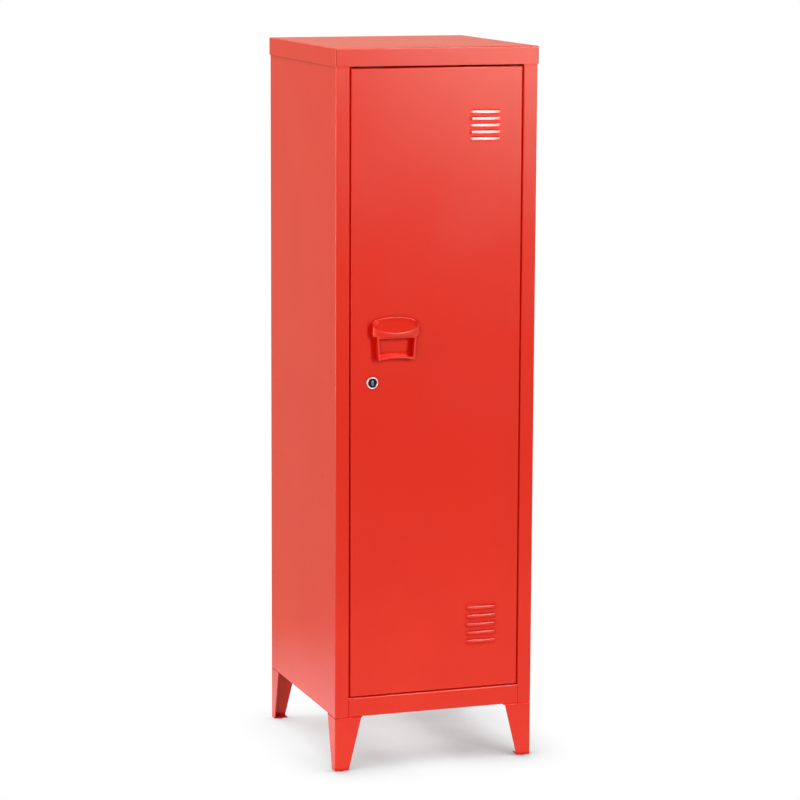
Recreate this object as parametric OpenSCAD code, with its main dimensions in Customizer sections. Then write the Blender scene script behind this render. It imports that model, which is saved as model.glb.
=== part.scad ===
// Single-door steel locker on four tapered legs.
// The origin is under the middle of the whole piece, on the floor. +Z is up and the door faces -Y.

/* [Overall] */
// Width across the cap, side to side
overall_w = 380; // [340:5:460]
// Depth from the front of the pull to the back of the cap
overall_d = 420; // [380:1:480]
// Height from the floor to the top of the cap
overall_h = 1300; // [1150:10:1450]
// Thickness of the folded sheet steel
sheet_t = 1; // [0.8:0.1:1.2]
// Outside radius of a fold in the sheet
fold_r = 2; // [1.6:0.1:2.4]
// Air left between two sheets that meet edge to edge
seam = 0.3; // [0.2:0.05:0.5]

/* [Cap] */
// Height of the flange round the cap
cap_h = 32; // [26:1:40]
// Air between the cap's flange and the body
cap_fit = 0.6; // [0.1:0.05:1]
// Open seam where two flanges of the cap meet at a corner
cap_seam = 0.8; // [0.3:0.1:1]
// Radius of the weld studs under the cap
cap_stud_r = 2.5; // [2:0.25:3]
// Length of the weld studs under the cap
cap_stud_l = 12; // [10:1:16]

/* [Cabinet] */
// Width of the stile at each side of the door
stile_w = 26; // [23:1:32]
// Height of the rail under the door
rail_h = 35.5; // [30:0.5:44]
// Depth of the header that carries the upper hinge pin
header_d = 40; // [38:1:50]
// Width of the flange at the top of each side
top_flange_w = 24; // [22:1:30]
// Width of the floor's lower flanges that the legs are bolted to
foot_flange_w = 50; // [48:1:60]
// Width of the floor's lower flange behind the rail
rail_flange_w = 20; // [14:1:28]
// Width of the lip behind the lock side of the door
stop_lip_w = 10; // [8:0.5:12]
// Distance between the two wall holes in the back
wall_hole_spacing = 280; // [200:10:300]
// Radius of the wall holes
wall_hole_r = 3.5; // [2.5:0.25:4.5]
// Distance of the wall holes below the top of the cap
wall_hole_drop = 75; // [66:1:90]
// Number of rivets up each side of the back
rivet_count = 5; // [3:1:8]

/* [Legs] */
// Height of the body's lower edge above the floor
leg_h = 100; // [80:2:130]
// Width of a leg's front face at the top
leg_top_w = 50; // [48:1:60]
// Width of a leg's front face at the foot
leg_foot_w = 26; // [23:1:34]
// Width of a leg's side face at the top
leg_top_d = 45; // [44:1:54]
// Width of a leg's side face at the foot
leg_foot_d = 19; // [18:1:26]
// Thickness of a leg's steel
leg_t = 2; // [1.5:0.25:2.5]
// Step by which a leg's top plate is wider than its faces
leg_shoulder = 2; // [1:0.25:3]
// Height of the nylon glide under each leg
glide_t = 1.5; // [1.2:0.1:2.5]
// Radius of the glide
glide_r = 8; // [7:0.25:8.75]
// Radius of the bolts that hold the legs
leg_bolt_r = 3; // [2.5:0.25:3.5]
// Height of the groove round a leg's top, where it meets the body
leg_groove_h = 1.5; // [1:0.1:1.8]
// Depth of that groove
leg_groove_d = 1.2; // [0.5:0.1:1.3]

/* [Door] */
// Thickness of the door over its folded edges
door_t = 18; // [17:0.5:20]
// Gap at the sides of the door
door_gap = 2.5; // [2.3:0.1:3]
// Gap under the door
door_foot_gap = 2; // [1.8:0.1:3]
// Gap at the top of the door
door_top_gap = 3; // [2.5:0.1:4]
// Width of the lip folded in behind the door
door_lip_w = 14; // [12:0.5:18]
// Height of the rubber bumpers behind the door
bumper_h = 2.8; // [2:0.1:4]
// Radius of the rubber bumpers
bumper_r = 3.2; // [2.5:0.1:3.5]
// Width of the stiffener down the middle of the door
stiffener_w = 44; // [36:1:56]
// Depth of the stiffener
stiffener_d = 12; // [9:0.5:13]

/* [Hinge] */
// Distance of the hinge axis from the door's edge
hinge_in = 14; // [12.5:0.5:17]
// Distance of the hinge axis behind the door's face
hinge_back = 7.5; // [7.3:0.1:8]
// Radius of the hinge pins
pin_r = 3; // [2.5:0.1:3.2]
// Radial air between a hinge pin and its bushing
pin_fit = 0.05; // [0.03:0.01:0.1]
// Length of each nylon bushing inside the door
bushing_l = 12; // [9:0.5:16]

/* [Louvres] */
// Number of louvres in each group
louvre_count = 5; // [3:1:6]
// Length of a louvre
louvre_l = 59; // [45:1:75]
// Height of a louvre's hood
louvre_h = 6.4; // [5:0.1:7.5]
// How far a louvre stands proud of the door
louvre_proud = 3; // [2.5:0.1:3.8]
// Pitch of the upper louvres
upper_louvre_pitch = 11.9; // [9:0.1:14]
// Pitch of the lower louvres
lower_louvre_pitch = 15.6; // [10:0.1:18]
// Distance from the door's hinge edge to the louvres
louvre_in = 41; // [34:1:50]
// Distance from the door's top edge to the upper louvres
upper_louvre_drop = 76; // [50:1:110]
// Distance from the door's bottom edge to the lower louvres
lower_louvre_rise = 83; // [50:1:120]

/* [Pull] */
// Distance from the door's lock edge to the middle of the pull
pull_in = 80; // [74:1:90]
// Height of the hood's lower edge above the floor
pull_z = 792.5; // [700:2.5:900]
// Width of the hood
hood_w = 87; // [80:1:96]
// How far the middle of the hood stands out
hood_proud = 21; // [19.5:0.5:25]
// How far the hood's side walls stand out
hood_side = 13; // [11:0.5:15]
// Height of the hood's side walls
hood_side_h = 20.5; // [18:0.5:24]
// How much higher the hood is on the door than at its sides
hood_rise = 12; // [8:0.5:15]
// How much lower the hood's lip is in the middle than at its sides
hood_drop = 14; // [10:0.5:15]
// Wall thickness of the pull
pull_t = 1.6; // [1.2:0.1:2]
// Width of the finger frame where it meets the hood
frame_top_w = 74; // [70:1:78]
// Width of the finger frame at its foot
frame_foot_w = 68; // [62:1:70]
// Height of the finger frame below the hood
frame_h = 43; // [38:1:50]
// How far the finger frame stands out
frame_proud = 18; // [16:0.5:19]
// Width of the finger frame's rims
frame_rim = 3.6; // [3:0.1:4.5]
// How much the frame's lower bar is arched
frame_arch = 3.5; // [2:0.25:5]

/* [Lock] */
// Distance from the door's lock edge to the lock
lock_in = 40; // [36:1:44]
// Height of the lock above the floor
lock_z = 708.5; // [650:2.5:720]
// Radius of the lock's chrome ring
lock_ring_r = 11; // [10.5:0.25:12]
// Radius of the turning face inside the ring
lock_face_r = 8.2; // [7.8:0.1:8.6]
// Length of the lock's barrel behind the door's face
lock_barrel_l = 20; // [16:0.5:21]
// How far the cam reaches from the lock's axis
cam_reach = 40; // [38:0.5:41]

/* [Shelves] */
// Depth of a shelf's folded edges
shelf_h = 22; // [16:1:28]
// Distance from the front of the body to the shelves
shelf_front = 46; // [40:1:60]
// Depth of the slotted tracks
track_d = 6; // [5:0.5:8]
// Width of the slotted tracks
track_w = 20; // [16:1:26]
// Distance of a track from the front or the back
track_in = 75; // [70:1:90]
// Pitch of the slots in the tracks
slot_pitch = 50; // [40:5:60]
// Slot that the lower shelf's clips hang in, counted from the bottom
lower_slot = 4; // [2:1:5]
// Slot that the middle shelf's clips hang in
middle_slot = 10; // [7:1:11]
// Slot that the upper shelf's clips hang in
upper_slot = 16; // [12:1:16]

/* [Hidden] */
$fn = 48;

// Paint, plating and plastics
red = [0.86, 0.14, 0.08];
zinc = [0.72, 0.73, 0.75];
chrome = [0.85, 0.86, 0.88];
black = [0.06, 0.06, 0.07];

// A cut runs this far past the face that it goes through
cut = 1;
// Air round a fastener in its hole
hole_fit = 0.15;
// Air between faces that slide or turn past each other
slide_fit = 0.2;

// Body
cap_over = sheet_t + cap_fit;
body_w = overall_w - 2 * cap_over;
pull_front = max(hood_proud, frame_proud);
body_d = overall_d - pull_front - cap_over;
hx = body_w / 2;
front = pull_front - overall_d / 2;
back = front + body_d;
floor_top = leg_h + rail_h;
cap_low = overall_h - cap_h;
roof = overall_h - sheet_t;
open_hx = hx - stile_w;
inner_hx = hx - sheet_t - seam;

// Door
door_hx = open_hx - door_gap;
door_lo = floor_top + door_foot_gap;
door_hi = cap_low - door_top_gap;
door_back = front + door_t;
jamb_d = door_t + bumper_h + slide_fit + sheet_t;
header_lip_in = 10;
stop_face = front + jamb_d - sheet_t;

// Hinge
hinge_x = door_hx - hinge_in;
hinge_y = front + hinge_back;
bushing_wall = 2.2;
bushing_r = pin_r + bushing_wall;
bushing_flange_r = bushing_r + 1;
bushing_flange_t = 1;
bracket_t = 3;
bracket_l = 36;
pin_head_r = 5.5;
pin_head_h = 3;
pin_spare = 2;

// Cap studs stand in the flanges at the tops of the sides
cap_stud_in = top_flange_w / 2 + sheet_t;
cap_stud_front = 40;
cap_stud_rear = 60;
cap_stud_y = [front + header_d + cap_stud_front, back - cap_stud_rear];
cap_nut_gap = cap_stud_r + hole_fit / 2;
cap_nut_r = 4.6;
cap_nut_h = 4.5;

// Leg bolts, from the leg's outer corner
leg_bolt_in = 14;
leg_bolt_side = 12;
leg_bolt_rear = 11;
leg_bolt_at = [
    [leg_bolt_in, leg_bolt_in],
    [leg_top_w - leg_bolt_side, leg_bolt_in],
    [leg_bolt_in, leg_top_d - leg_bolt_rear]
];
bolt_spare = 2;
bolt_head_r = 5.77;
bolt_head_h = 4;
nut_h = 5;
glide_stem_r = 2.5;
glide_head_r = 3.2;
glide_head_h = 2;

// Rivets through the back
rivet_r = 2;
rivet_head_r = 4;
rivet_head_h = 1.1;
rivet_tail_r = 3.2;
rivet_tail_h = 2;
rivet_end_low = 70;
rivet_end_high = 60;
rivet_low = leg_h + rivet_end_low;
rivet_high = cap_low - rivet_end_high;
rivet_step = (rivet_high - rivet_low) / (rivet_count - 1);
floor_rivet_x = 80;

// Shelf tracks, slots and clips
track_x = hx - sheet_t - track_d;
track_end = 25;
track_low = floor_top + track_end;
track_high = cap_low - track_end;
track_y = [front + track_in, back - track_in];
slot_first = 30;
slot_w = 4;
slot_h = 12;
slot_count = floor((track_high - track_low - 2 * slot_first) / slot_pitch) + 1;
clip_t = 1.5;
clip_w = 14;
clip_tab = 10;
clip_h = 26;
peg_l = 3;
peg_h = 10;
tab_drop = 4;
shelf_fit = 0.5;
shelf_rear_gap = 4;
shelf_hx = track_x - clip_t - shelf_fit;
shelf_back = back - 2 * sheet_t - shelf_rear_gap;
function slot_z(index) = track_low + slot_first + index * slot_pitch;
// The clip's tab lies under the shelf, a little below the slot
function shelf_top(index) = slot_z(index) + shelf_h - tab_drop;

// Magnetic catch under the header
catch_w = 46;
catch_h = 13;
catch_d = 14;
catch_in = 45;
catch_x = -(open_hx - catch_in);
strike_t = 1.2;
strike_w = 36;
strike_in = 1;
magnet_w = 24;
magnet_h = 6;
magnet_out = 0.5;
magnet_d = 11;
magnet_rise = 2;
catch_face = door_back + strike_t + slide_fit + magnet_out;
catch_screw_r = 1.75;
catch_screw_in = 18;
catch_screw_x = [catch_x - catch_screw_in, catch_x + catch_screw_in];
catch_screw_spare = 2;
catch_screw_y = catch_face + catch_d / 2;

// Stiffener and bumpers
stiffener_flange = 10;
stiffener_end = 60;
bumper_end = 60;

// Louvre hood: a bend in two steps at its top, then a face that leans back a little from its open edge
louvre_lean = 0.65;
louvre_bend_h = louvre_h / 4;
louvre_bend_d = louvre_proud - louvre_lean;
louvre_mid_h = 0.375 * louvre_bend_h;
louvre_mid_d = 0.64 * louvre_bend_d;
louvre_wall = 1.1 * sheet_t;
louvre_top_wall = 0.6 * sheet_t;
louvre_end = 5;
louvre_x = door_hx - louvre_in - louvre_l;
louvre_z = concat(
    [for (i = [0 : louvre_count - 1]) door_hi - upper_louvre_drop - louvre_h - i * upper_louvre_pitch],
    [for (i = [0 : louvre_count - 1]) door_lo + lower_louvre_rise + i * lower_louvre_pitch]
);

// Pull: the hood's inner face is set down by this many wall thicknesses, because its top slopes
pull_x = -(door_hx - pull_in);
hood_steps = 28;
hood_tip_in = 1.5;
boss_x = 26;
boss_w = 9;
boss_d = 11;
boss_rise = 10.5;
boss_z = pull_z + boss_rise;
handle_screw_r = 2;
handle_screw_l = 10;
arch_r = (frame_foot_w * frame_foot_w / 4 + frame_arch * frame_arch) / (2 * frame_arch);
frame_foot = pull_z - frame_h;

// Lock
lock_x = -(door_hx - lock_in);
ring_t = 2.2;
barrel_r = 9;
face_t = 2.5;
stem_r = 6;
cam_t = 2;
cam_w = 15;
cam_gap = 0.6;
cam_face = front + jamb_d + cam_gap;
drive_w = 7;
drive_fit = 0.05;
lock_nut_r = 13;
lock_nut_h = 4;
cam_screw_r = 2;
cam_screw_l = 7;
cam_screw_hole = 10;
key_slot_l = 9;
key_slot_t = 1.4;
key_slot_d = 8;

// A block between two opposite corners
module block(lo, hi) {
    translate(lo) cube(hi - lo);
}

// A rectangle with four round corners
module round_rect(lo, hi, r) {
    translate([lo.x + r, lo.y]) square([hi.x - lo.x - 2 * r, hi.y - lo.y]);
    translate([lo.x, lo.y + r]) square([hi.x - lo.x, hi.y - lo.y - 2 * r]);
    for (x = [lo.x + r, hi.x - r], y = [lo.y + r, hi.y - r]) translate([x, y]) circle(r = r);
}

// A rectangle whose two corners at the low first coordinate are round
module nose_rect(lo, hi, r) {
    translate([lo.x + r, lo.y]) square([hi.x - lo.x - r, hi.y - lo.y]);
    translate([lo.x, lo.y + r]) square([r, hi.y - lo.y - 2 * r]);
    for (y = [lo.y + r, hi.y - r]) translate([lo.x + r, y]) circle(r = r);
}

// A block whose front edges, top and bottom, are round: its outline is drawn in Y and Z
module nosed_block(lo, hi, r) {
    translate([lo.x, 0, 0]) rotate([90, 0, 90]) linear_extrude(hi.x - lo.x)
        nose_rect([lo.y, lo.z], [hi.y, hi.z], r);
}

// A block with all four front edges round, like a folded pan
module pan_block(lo, hi, r) {
    intersection() {
        nosed_block(lo, hi, r);
        translate([0, 0, lo.z]) mirror([1, -1, 0]) linear_extrude(hi.z - lo.z)
            nose_rect([lo.y, lo.x], [hi.y, hi.x], r);
    }
}

// The cap's outline: round at its top edges and its upright corners
module cap_block(lo, hi, r) {
    intersection() {
        translate([0, 0, lo.z]) linear_extrude(hi.z - lo.z) round_rect([lo.x, lo.y], [hi.x, hi.y], r);
        translate([lo.x, 0, 0]) rotate([90, 0, 90]) linear_extrude(hi.x - lo.x)
            round_rect([lo.y, lo.z - 2 * r], [hi.y, hi.z], r);
        translate([0, hi.y, 0]) rotate([90, 0, 0]) linear_extrude(hi.y - lo.y)
            round_rect([lo.x, lo.z - 2 * r], [hi.x, hi.z], r);
    }
}

// A cylinder along -Y that starts at p
module rod_forward(p, r, l) {
    translate(p) rotate([90, 0, 0]) cylinder(r = r, h = l);
}

module top_cap() {
    cx = overall_w / 2;
    color(red) difference() {
        cap_block([-cx, front - cap_over, cap_low], [cx, back + cap_over, overall_h], fold_r);
        cap_block(
            [-cx + sheet_t, front - cap_fit, cap_low - cut],
            [cx - sheet_t, back + cap_fit, roof],
            fold_r - sheet_t
        );
        for (side = [0, 1], y = [front - cap_over - cut, back]) mirror([side, 0, 0]) block(
            [cx - sheet_t - cap_seam, y, cap_low - cut],
            [cx - sheet_t, y + cap_over + cut, overall_h - fold_r]
        );
    }
    color(zinc) for (side = [-1, 1], y = cap_stud_y)
        translate([side * (hx - cap_stud_in), y, roof - cap_stud_l]) cylinder(r = cap_stud_r, h = cap_stud_l);
}

// The right side, with its stile, the return beside the door, the back flange and the top flange
module side_panel() {
    intersection() {
        cap_block([-hx, front, leg_h - cut], [hx, back, roof], fold_r);
        difference() {
            union() {
                translate([0, 0, leg_h]) linear_extrude(roof - leg_h) difference() {
                    round_rect([open_hx, front], [hx, back], fold_r);
                    round_rect(
                        [open_hx + sheet_t, front + sheet_t], [hx - sheet_t, back - sheet_t], fold_r - sheet_t
                    );
                    translate([open_hx - cut, front + jamb_d])
                        square([cut + sheet_t + fold_r, body_d - jamb_d - sheet_t]);
                }
                block(
                    [hx - top_flange_w, front + header_d + seam, roof - sheet_t],
                    [hx - sheet_t / 2, back - 2 * sheet_t - seam, roof]
                );
            }
            for (z = [[leg_h - cut, floor_top], [cap_low, roof + cut]])
                block(
                    [open_hx - cut, front + sheet_t, z[0]],
                    [open_hx + sheet_t, front + jamb_d + cut, z[1]]
                );
            for (y = cap_stud_y) translate([hx - cap_stud_in, y, roof - sheet_t - cut])
                cylinder(r = cap_stud_r + hole_fit, h = sheet_t + 2 * cut);
            for (i = [0 : rivet_count - 1])
                translate([hx - stile_w / 2, back + cut, rivet_low + i * rivet_step])
                    rod_forward([0, 0, 0], rivet_r + hole_fit, sheet_t + 2 * cut);
        }
    }
}

module right_side_panel() {
    color(red) side_panel();
}

module left_side_panel() {
    color(red) {
        mirror([1, 0, 0]) side_panel();
        block(
            [-open_hx - sheet_t / 2, stop_face, floor_top],
            [-open_hx + stop_lip_w, front + jamb_d, cap_low]
        );
    }
}

module back_panel() {
    bx = hx - fold_r - seam;
    color(red) difference() {
        block([-bx, back - 2 * sheet_t, leg_h], [bx, back - sheet_t, roof]);
        for (side = [-1, 1]) {
            rod_forward(
                [side * wall_hole_spacing / 2, back, overall_h - wall_hole_drop], wall_hole_r, 3 * sheet_t
            );
            rod_forward([side * floor_rivet_x, back, leg_h + rail_h / 2], rivet_r + hole_fit, 3 * sheet_t);
            for (i = [0 : rivet_count - 1]) rod_forward(
                [side * (hx - stile_w / 2), back, rivet_low + i * rivet_step], rivet_r + hole_fit, 3 * sheet_t
            );
        }
    }
}

// The floor: a pan with its edges folded down, its front edge showing as the rail under the door
module bottom_panel() {
    rx = open_hx - seam;
    rear = back - 2 * sheet_t;
    color(red) difference() {
        intersection() {
            union() {
                block([-inner_hx, front + fold_r, leg_h], [inner_hx, rear, floor_top]);
                block([-rx, front, leg_h], [rx, front + 2 * fold_r, floor_top]);
            }
            nosed_block([-hx, front, leg_h], [hx, back, floor_top], fold_r);
        }
        nosed_block(
            [-inner_hx + sheet_t, front + sheet_t, leg_h + sheet_t],
            [inner_hx - sheet_t, rear - sheet_t, floor_top - sheet_t],
            fold_r - sheet_t
        );
        block(
            [-(hx - foot_flange_w), front + rail_flange_w, leg_h - cut],
            [hx - foot_flange_w, rear - rail_flange_w, leg_h + sheet_t + cut]
        );
        translate([hinge_x, hinge_y, floor_top - sheet_t - cut])
            cylinder(r = pin_r + hole_fit, h = sheet_t + 2 * cut);
        at_leg_corners() for (p = leg_bolt_at)
            translate([p.x, p.y, leg_h - cut]) cylinder(r = leg_bolt_r + hole_fit, h = sheet_t + 2 * cut);
        for (side = [-1, 1])
            rod_forward([side * floor_rivet_x, back, leg_h + rail_h / 2], rivet_r + hole_fit, 4 * sheet_t);
    }
}

// The rail over the door: a channel behind the cap's flange, tabbed to both sides
module header_rail() {
    rx = open_hx - seam;
    color(red) difference() {
        intersection() {
            cap_block([-hx, front, cap_low - cut], [hx, back, roof], fold_r);
            union() {
                block([-inner_hx, front + fold_r, cap_low], [inner_hx, front + header_d, cap_low + sheet_t]);
                block([-rx, front, cap_low], [rx, front + sheet_t, roof]);
                block([-rx, front, cap_low], [rx, front + 2 * fold_r, cap_low + sheet_t]);
                block([-rx, front, roof - sheet_t], [rx, front + header_d - header_lip_in, roof]);
                for (side = [0, 1]) mirror([side, 0, 0])
                    block([inner_hx - sheet_t, front + fold_r, cap_low], [inner_hx, front + header_d, roof]);
            }
        }
        translate([hinge_x, hinge_y, cap_low - cut]) cylinder(r = pin_r + hole_fit, h = sheet_t + 2 * cut);
        for (x = catch_screw_x)
            translate([x, catch_screw_y, cap_low - cut])
                cylinder(r = catch_screw_r + hole_fit, h = sheet_t + 2 * cut);
    }
}

// Places its children at the four lower corners of the body, X and Y running inward from the corner
module at_leg_corners() {
    for (side = [0, 1]) mirror([side, 0, 0]) {
        translate([-hx, front, 0]) children();
        translate([-hx, back, 0]) mirror([0, 1, 0]) children();
    }
}

// The front left leg, its outer corner on the Z axis
module leg() {
    plate_low = leg_h - leg_t;
    difference() {
        intersection() {
            union() {
                translate([0, leg_t, 0]) rotate([90, 0, 0]) linear_extrude(leg_t)
                    polygon([[0, glide_t], [leg_foot_w, glide_t], [leg_top_w, leg_h], [0, leg_h]]);
                rotate([90, 0, 90]) linear_extrude(leg_t)
                    polygon([[0, glide_t], [leg_foot_d, glide_t], [leg_top_d, leg_h], [0, leg_h]]);
                block([0, 0, plate_low], [leg_top_w + leg_shoulder, leg_top_d + leg_shoulder, leg_h]);
                block([0, 0, glide_t], [leg_foot_w, leg_foot_d, glide_t + leg_t]);
            }
            union() {
                linear_extrude(leg_h - leg_groove_h)
                    round_rect([0, 0], [2 * leg_top_w, 2 * leg_top_w], fold_r);
                block([leg_groove_d, leg_groove_d, leg_h / 2], [2 * leg_top_w, 2 * leg_top_w, leg_h]);
            }
        }
        for (p = leg_bolt_at)
            translate([p.x, p.y, plate_low - cut]) cylinder(r = leg_bolt_r + hole_fit, h = leg_t + 2 * cut);
        translate([leg_foot_w / 2, leg_foot_d / 2, 0]) cylinder(r = glide_stem_r + hole_fit, h = leg_h / 2);
    }
}

module front_left_leg() {
    color(red) translate([-hx, front, 0]) leg();
}

module front_right_leg() {
    color(red) mirror([1, 0, 0]) translate([-hx, front, 0]) leg();
}

module rear_left_leg() {
    color(red) translate([-hx, back, 0]) mirror([0, 1, 0]) leg();
}

module rear_right_leg() {
    color(red) mirror([1, 0, 0]) translate([-hx, back, 0]) mirror([0, 1, 0]) leg();
}

module foot_glides() {
    plate_top = glide_t + leg_t;
    color(black) at_leg_corners() translate([leg_foot_w / 2, leg_foot_d / 2, 0]) {
        cylinder(r = glide_r, h = glide_t);
        cylinder(r = glide_stem_r, h = plate_top + glide_head_h);
        translate([0, 0, plate_top]) cylinder(r = glide_head_r, h = glide_head_h);
    }
}

module leg_bolts() {
    plate_low = leg_h - leg_t;
    color(zinc) at_leg_corners() for (p = leg_bolt_at) translate([p.x, p.y, plate_low - bolt_head_h]) {
        cylinder(r = bolt_head_r, h = bolt_head_h, $fn = 6);
        cylinder(r = leg_bolt_r, h = bolt_head_h + leg_t + sheet_t + nut_h + bolt_spare);
    }
}

module leg_nuts() {
    color(zinc) at_leg_corners() for (p = leg_bolt_at) translate([p.x, p.y, leg_h + sheet_t]) difference() {
        cylinder(r = bolt_head_r, h = nut_h, $fn = 6);
        translate([0, 0, -cut]) cylinder(r = leg_bolt_r + hole_fit / 2, h = nut_h + 2 * cut);
    }
}

module cap_nuts() {
    color(zinc) for (side = [-1, 1], y = cap_stud_y)
        translate([side * (hx - cap_stud_in), y, roof - sheet_t - cap_nut_h]) difference() {
            cylinder(r = cap_nut_r, h = cap_nut_h, $fn = 6);
            translate([0, 0, -cut]) cylinder(r = cap_nut_gap, h = cap_nut_h + 2 * cut);
        }
}

// A blind rivet whose head lies on the face at y = 0 and whose tail is drawn up in front
module rivet(grip) {
    rotate([90, 0, 0]) rotate_extrude() polygon(concat(
        [[0, grip + rivet_tail_h], [rivet_tail_r, grip + rivet_tail_h], [rivet_tail_r, grip]],
        [[rivet_r, grip], [rivet_r, 0], [rivet_head_r, 0]],
        [for (a = [15 : 15 : 75]) [rivet_head_r * cos(a), -rivet_head_h * sin(a)]],
        [[0, -rivet_head_h]]
    ));
}

module back_rivets() {
    color(zinc) for (side = [-1, 1]) {
        translate([side * floor_rivet_x, back - sheet_t, leg_h + rail_h / 2]) rivet(2 * sheet_t);
        for (i = [0 : rivet_count - 1])
            translate([side * (hx - stile_w / 2), back, rivet_low + i * rivet_step]) rivet(2 * sheet_t);
    }
}

// The slotted channels that carry the shelf clips
module shelf_tracks() {
    color(red) for (side = [0, 1], y = track_y) mirror([side, 0, 0]) difference() {
        block([track_x, y - track_w / 2, track_low], [hx - sheet_t, y + track_w / 2, track_high]);
        block(
            [track_x + sheet_t, y - track_w / 2 + sheet_t, track_low - cut],
            [hx, y + track_w / 2 - sheet_t, track_high + cut]
        );
        for (i = [0 : slot_count - 1])
            block(
                [track_x - cut, y - slot_w / 2, slot_z(i)],
                [hx - 2 * sheet_t, y + slot_w / 2, slot_z(i) + slot_h]
            );
    }
}

// One clip of the right side: a plate on the track, a peg in the slot and a tab under the shelf
module shelf_clip(index) {
    z = shelf_top(index) - shelf_h;
    peg_w = slot_w - 2 * hole_fit;
    block([track_x - clip_t, -clip_w / 2, z - clip_t], [track_x, clip_w / 2, z - clip_t + clip_h]);
    block([track_x - clip_tab, -clip_w / 2, z - clip_t], [track_x, clip_w / 2, z]);
    block([track_x - clip_t, -peg_w / 2, slot_z(index)], [track_x + peg_l, peg_w / 2, slot_z(index) + peg_h]);
}

module shelf_clips() {
    color(zinc) for (side = [0, 1], y = track_y, index = [lower_slot, middle_slot, upper_slot])
        mirror([side, 0, 0]) translate([0, y, 0]) shelf_clip(index);
}

module shelf(index) {
    z = shelf_top(index);
    difference() {
        pan_block(
            [-shelf_hx, front + shelf_front, z - shelf_h - 2 * fold_r], [shelf_hx, shelf_back, z], fold_r
        );
        block(
            [-shelf_hx + sheet_t, front + shelf_front + sheet_t, z - 2 * shelf_h],
            [shelf_hx - sheet_t, shelf_back - sheet_t, z - sheet_t]
        );
        block([-hx, front, z - 2 * shelf_h], [hx, back, z - shelf_h]);
    }
}

module upper_shelf() {
    color(red) shelf(upper_slot);
}

module middle_shelf() {
    color(red) shelf(middle_slot);
}

module lower_shelf() {
    color(red) shelf(lower_slot);
}

// The catch's nylon housing, open in front for the magnet
module catch_body() {
    color(black) difference() {
        block(
            [catch_x - catch_w / 2, catch_face, cap_low - catch_h],
            [catch_x + catch_w / 2, catch_face + catch_d, cap_low]
        );
        block(
            [catch_x - magnet_w / 2 - hole_fit, catch_face - cut, cap_low - catch_h + magnet_rise - hole_fit],
            [
                catch_x + magnet_w / 2 + hole_fit, catch_face + magnet_d + hole_fit,
                cap_low - catch_h + magnet_rise + magnet_h + hole_fit
            ]
        );
        for (x = catch_screw_x) translate([x, catch_screw_y, cap_low - catch_h - cut])
            cylinder(r = catch_screw_r + hole_fit, h = catch_h + 2 * cut);
    }
}

module catch_magnet() {
    color(zinc) block(
        [catch_x - magnet_w / 2, catch_face - magnet_out, cap_low - catch_h + magnet_rise],
        [catch_x + magnet_w / 2, catch_face + magnet_d, cap_low - catch_h + magnet_rise + magnet_h]
    );
}

module catch_screws() {
    head_h = 2;
    color(zinc) for (x = catch_screw_x) translate([x, catch_screw_y, cap_low - catch_h - head_h]) {
        cylinder(r = 2 * catch_screw_r, h = head_h);
        cylinder(r = catch_screw_r, h = head_h + catch_h + sheet_t + catch_screw_spare);
    }
}

// The upper pin hangs from its head on the header and goes down into the door
module upper_hinge_pin() {
    tip = door_hi - bushing_l - pin_spare;
    color(black) translate([hinge_x, hinge_y, 0]) {
        translate([0, 0, tip]) cylinder(r = pin_r, h = cap_low + sheet_t - tip);
        translate([0, 0, cap_low + sheet_t]) cylinder(r = pin_head_r, h = pin_head_h);
    }
}

// The lower pin stands up through the floor from a flange under it
module lower_hinge_pin() {
    flange_top = floor_top - sheet_t;
    color(black) translate([hinge_x, hinge_y, 0]) {
        translate([0, 0, flange_top]) cylinder(r = pin_r, h = door_lo + bushing_l + pin_spare - flange_top);
        translate([0, 0, flange_top - pin_head_h]) cylinder(r = pin_head_r, h = pin_head_h);
    }
}

// The washer that the door's lower bushing turns on
module hinge_washer() {
    washer_h = door_foot_gap - bushing_flange_t - slide_fit;
    color(black) translate([hinge_x, hinge_y, floor_top]) difference() {
        cylinder(r = bushing_flange_r, h = washer_h);
        translate([0, 0, -cut]) cylinder(r = pin_r + hole_fit, h = washer_h + 2 * cut);
    }
}

// A louvre's hood, or the hollow inside it
module louvre_form(z, hollow) {
    inset = hollow ? sheet_t : 0;
    wall = hollow ? louvre_wall : 0;
    behind = hollow ? front + sheet_t + cut : front + sheet_t / 2;
    low = hollow ? z - cut : z;
    x0 = louvre_x + inset;
    x1 = louvre_x + louvre_l - inset;
    y0 = front - louvre_proud;
    top = z + louvre_h - (hollow ? louvre_top_wall : 0);
    bend = [front - louvre_bend_d + wall, top - louvre_bend_h];
    half_bend = [front - louvre_mid_d + wall, top - louvre_mid_h];
    intersection() {
        translate([x0, 0, 0]) rotate([90, 0, 90]) linear_extrude(x1 - x0) polygon([
            [behind, low], [y0 + wall, low], [y0 + wall, z], bend, half_bend, [front + wall, top],
            [behind, top]
        ]);
        translate([0, 0, z - cut]) linear_extrude(louvre_h + 2 * cut) polygon([
            [x0, behind], [x0, front], [x0 + louvre_end, y0 + inset],
            [x1 - louvre_end, y0 + inset], [x1, front], [x1, behind]
        ]);
    }
}

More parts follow.
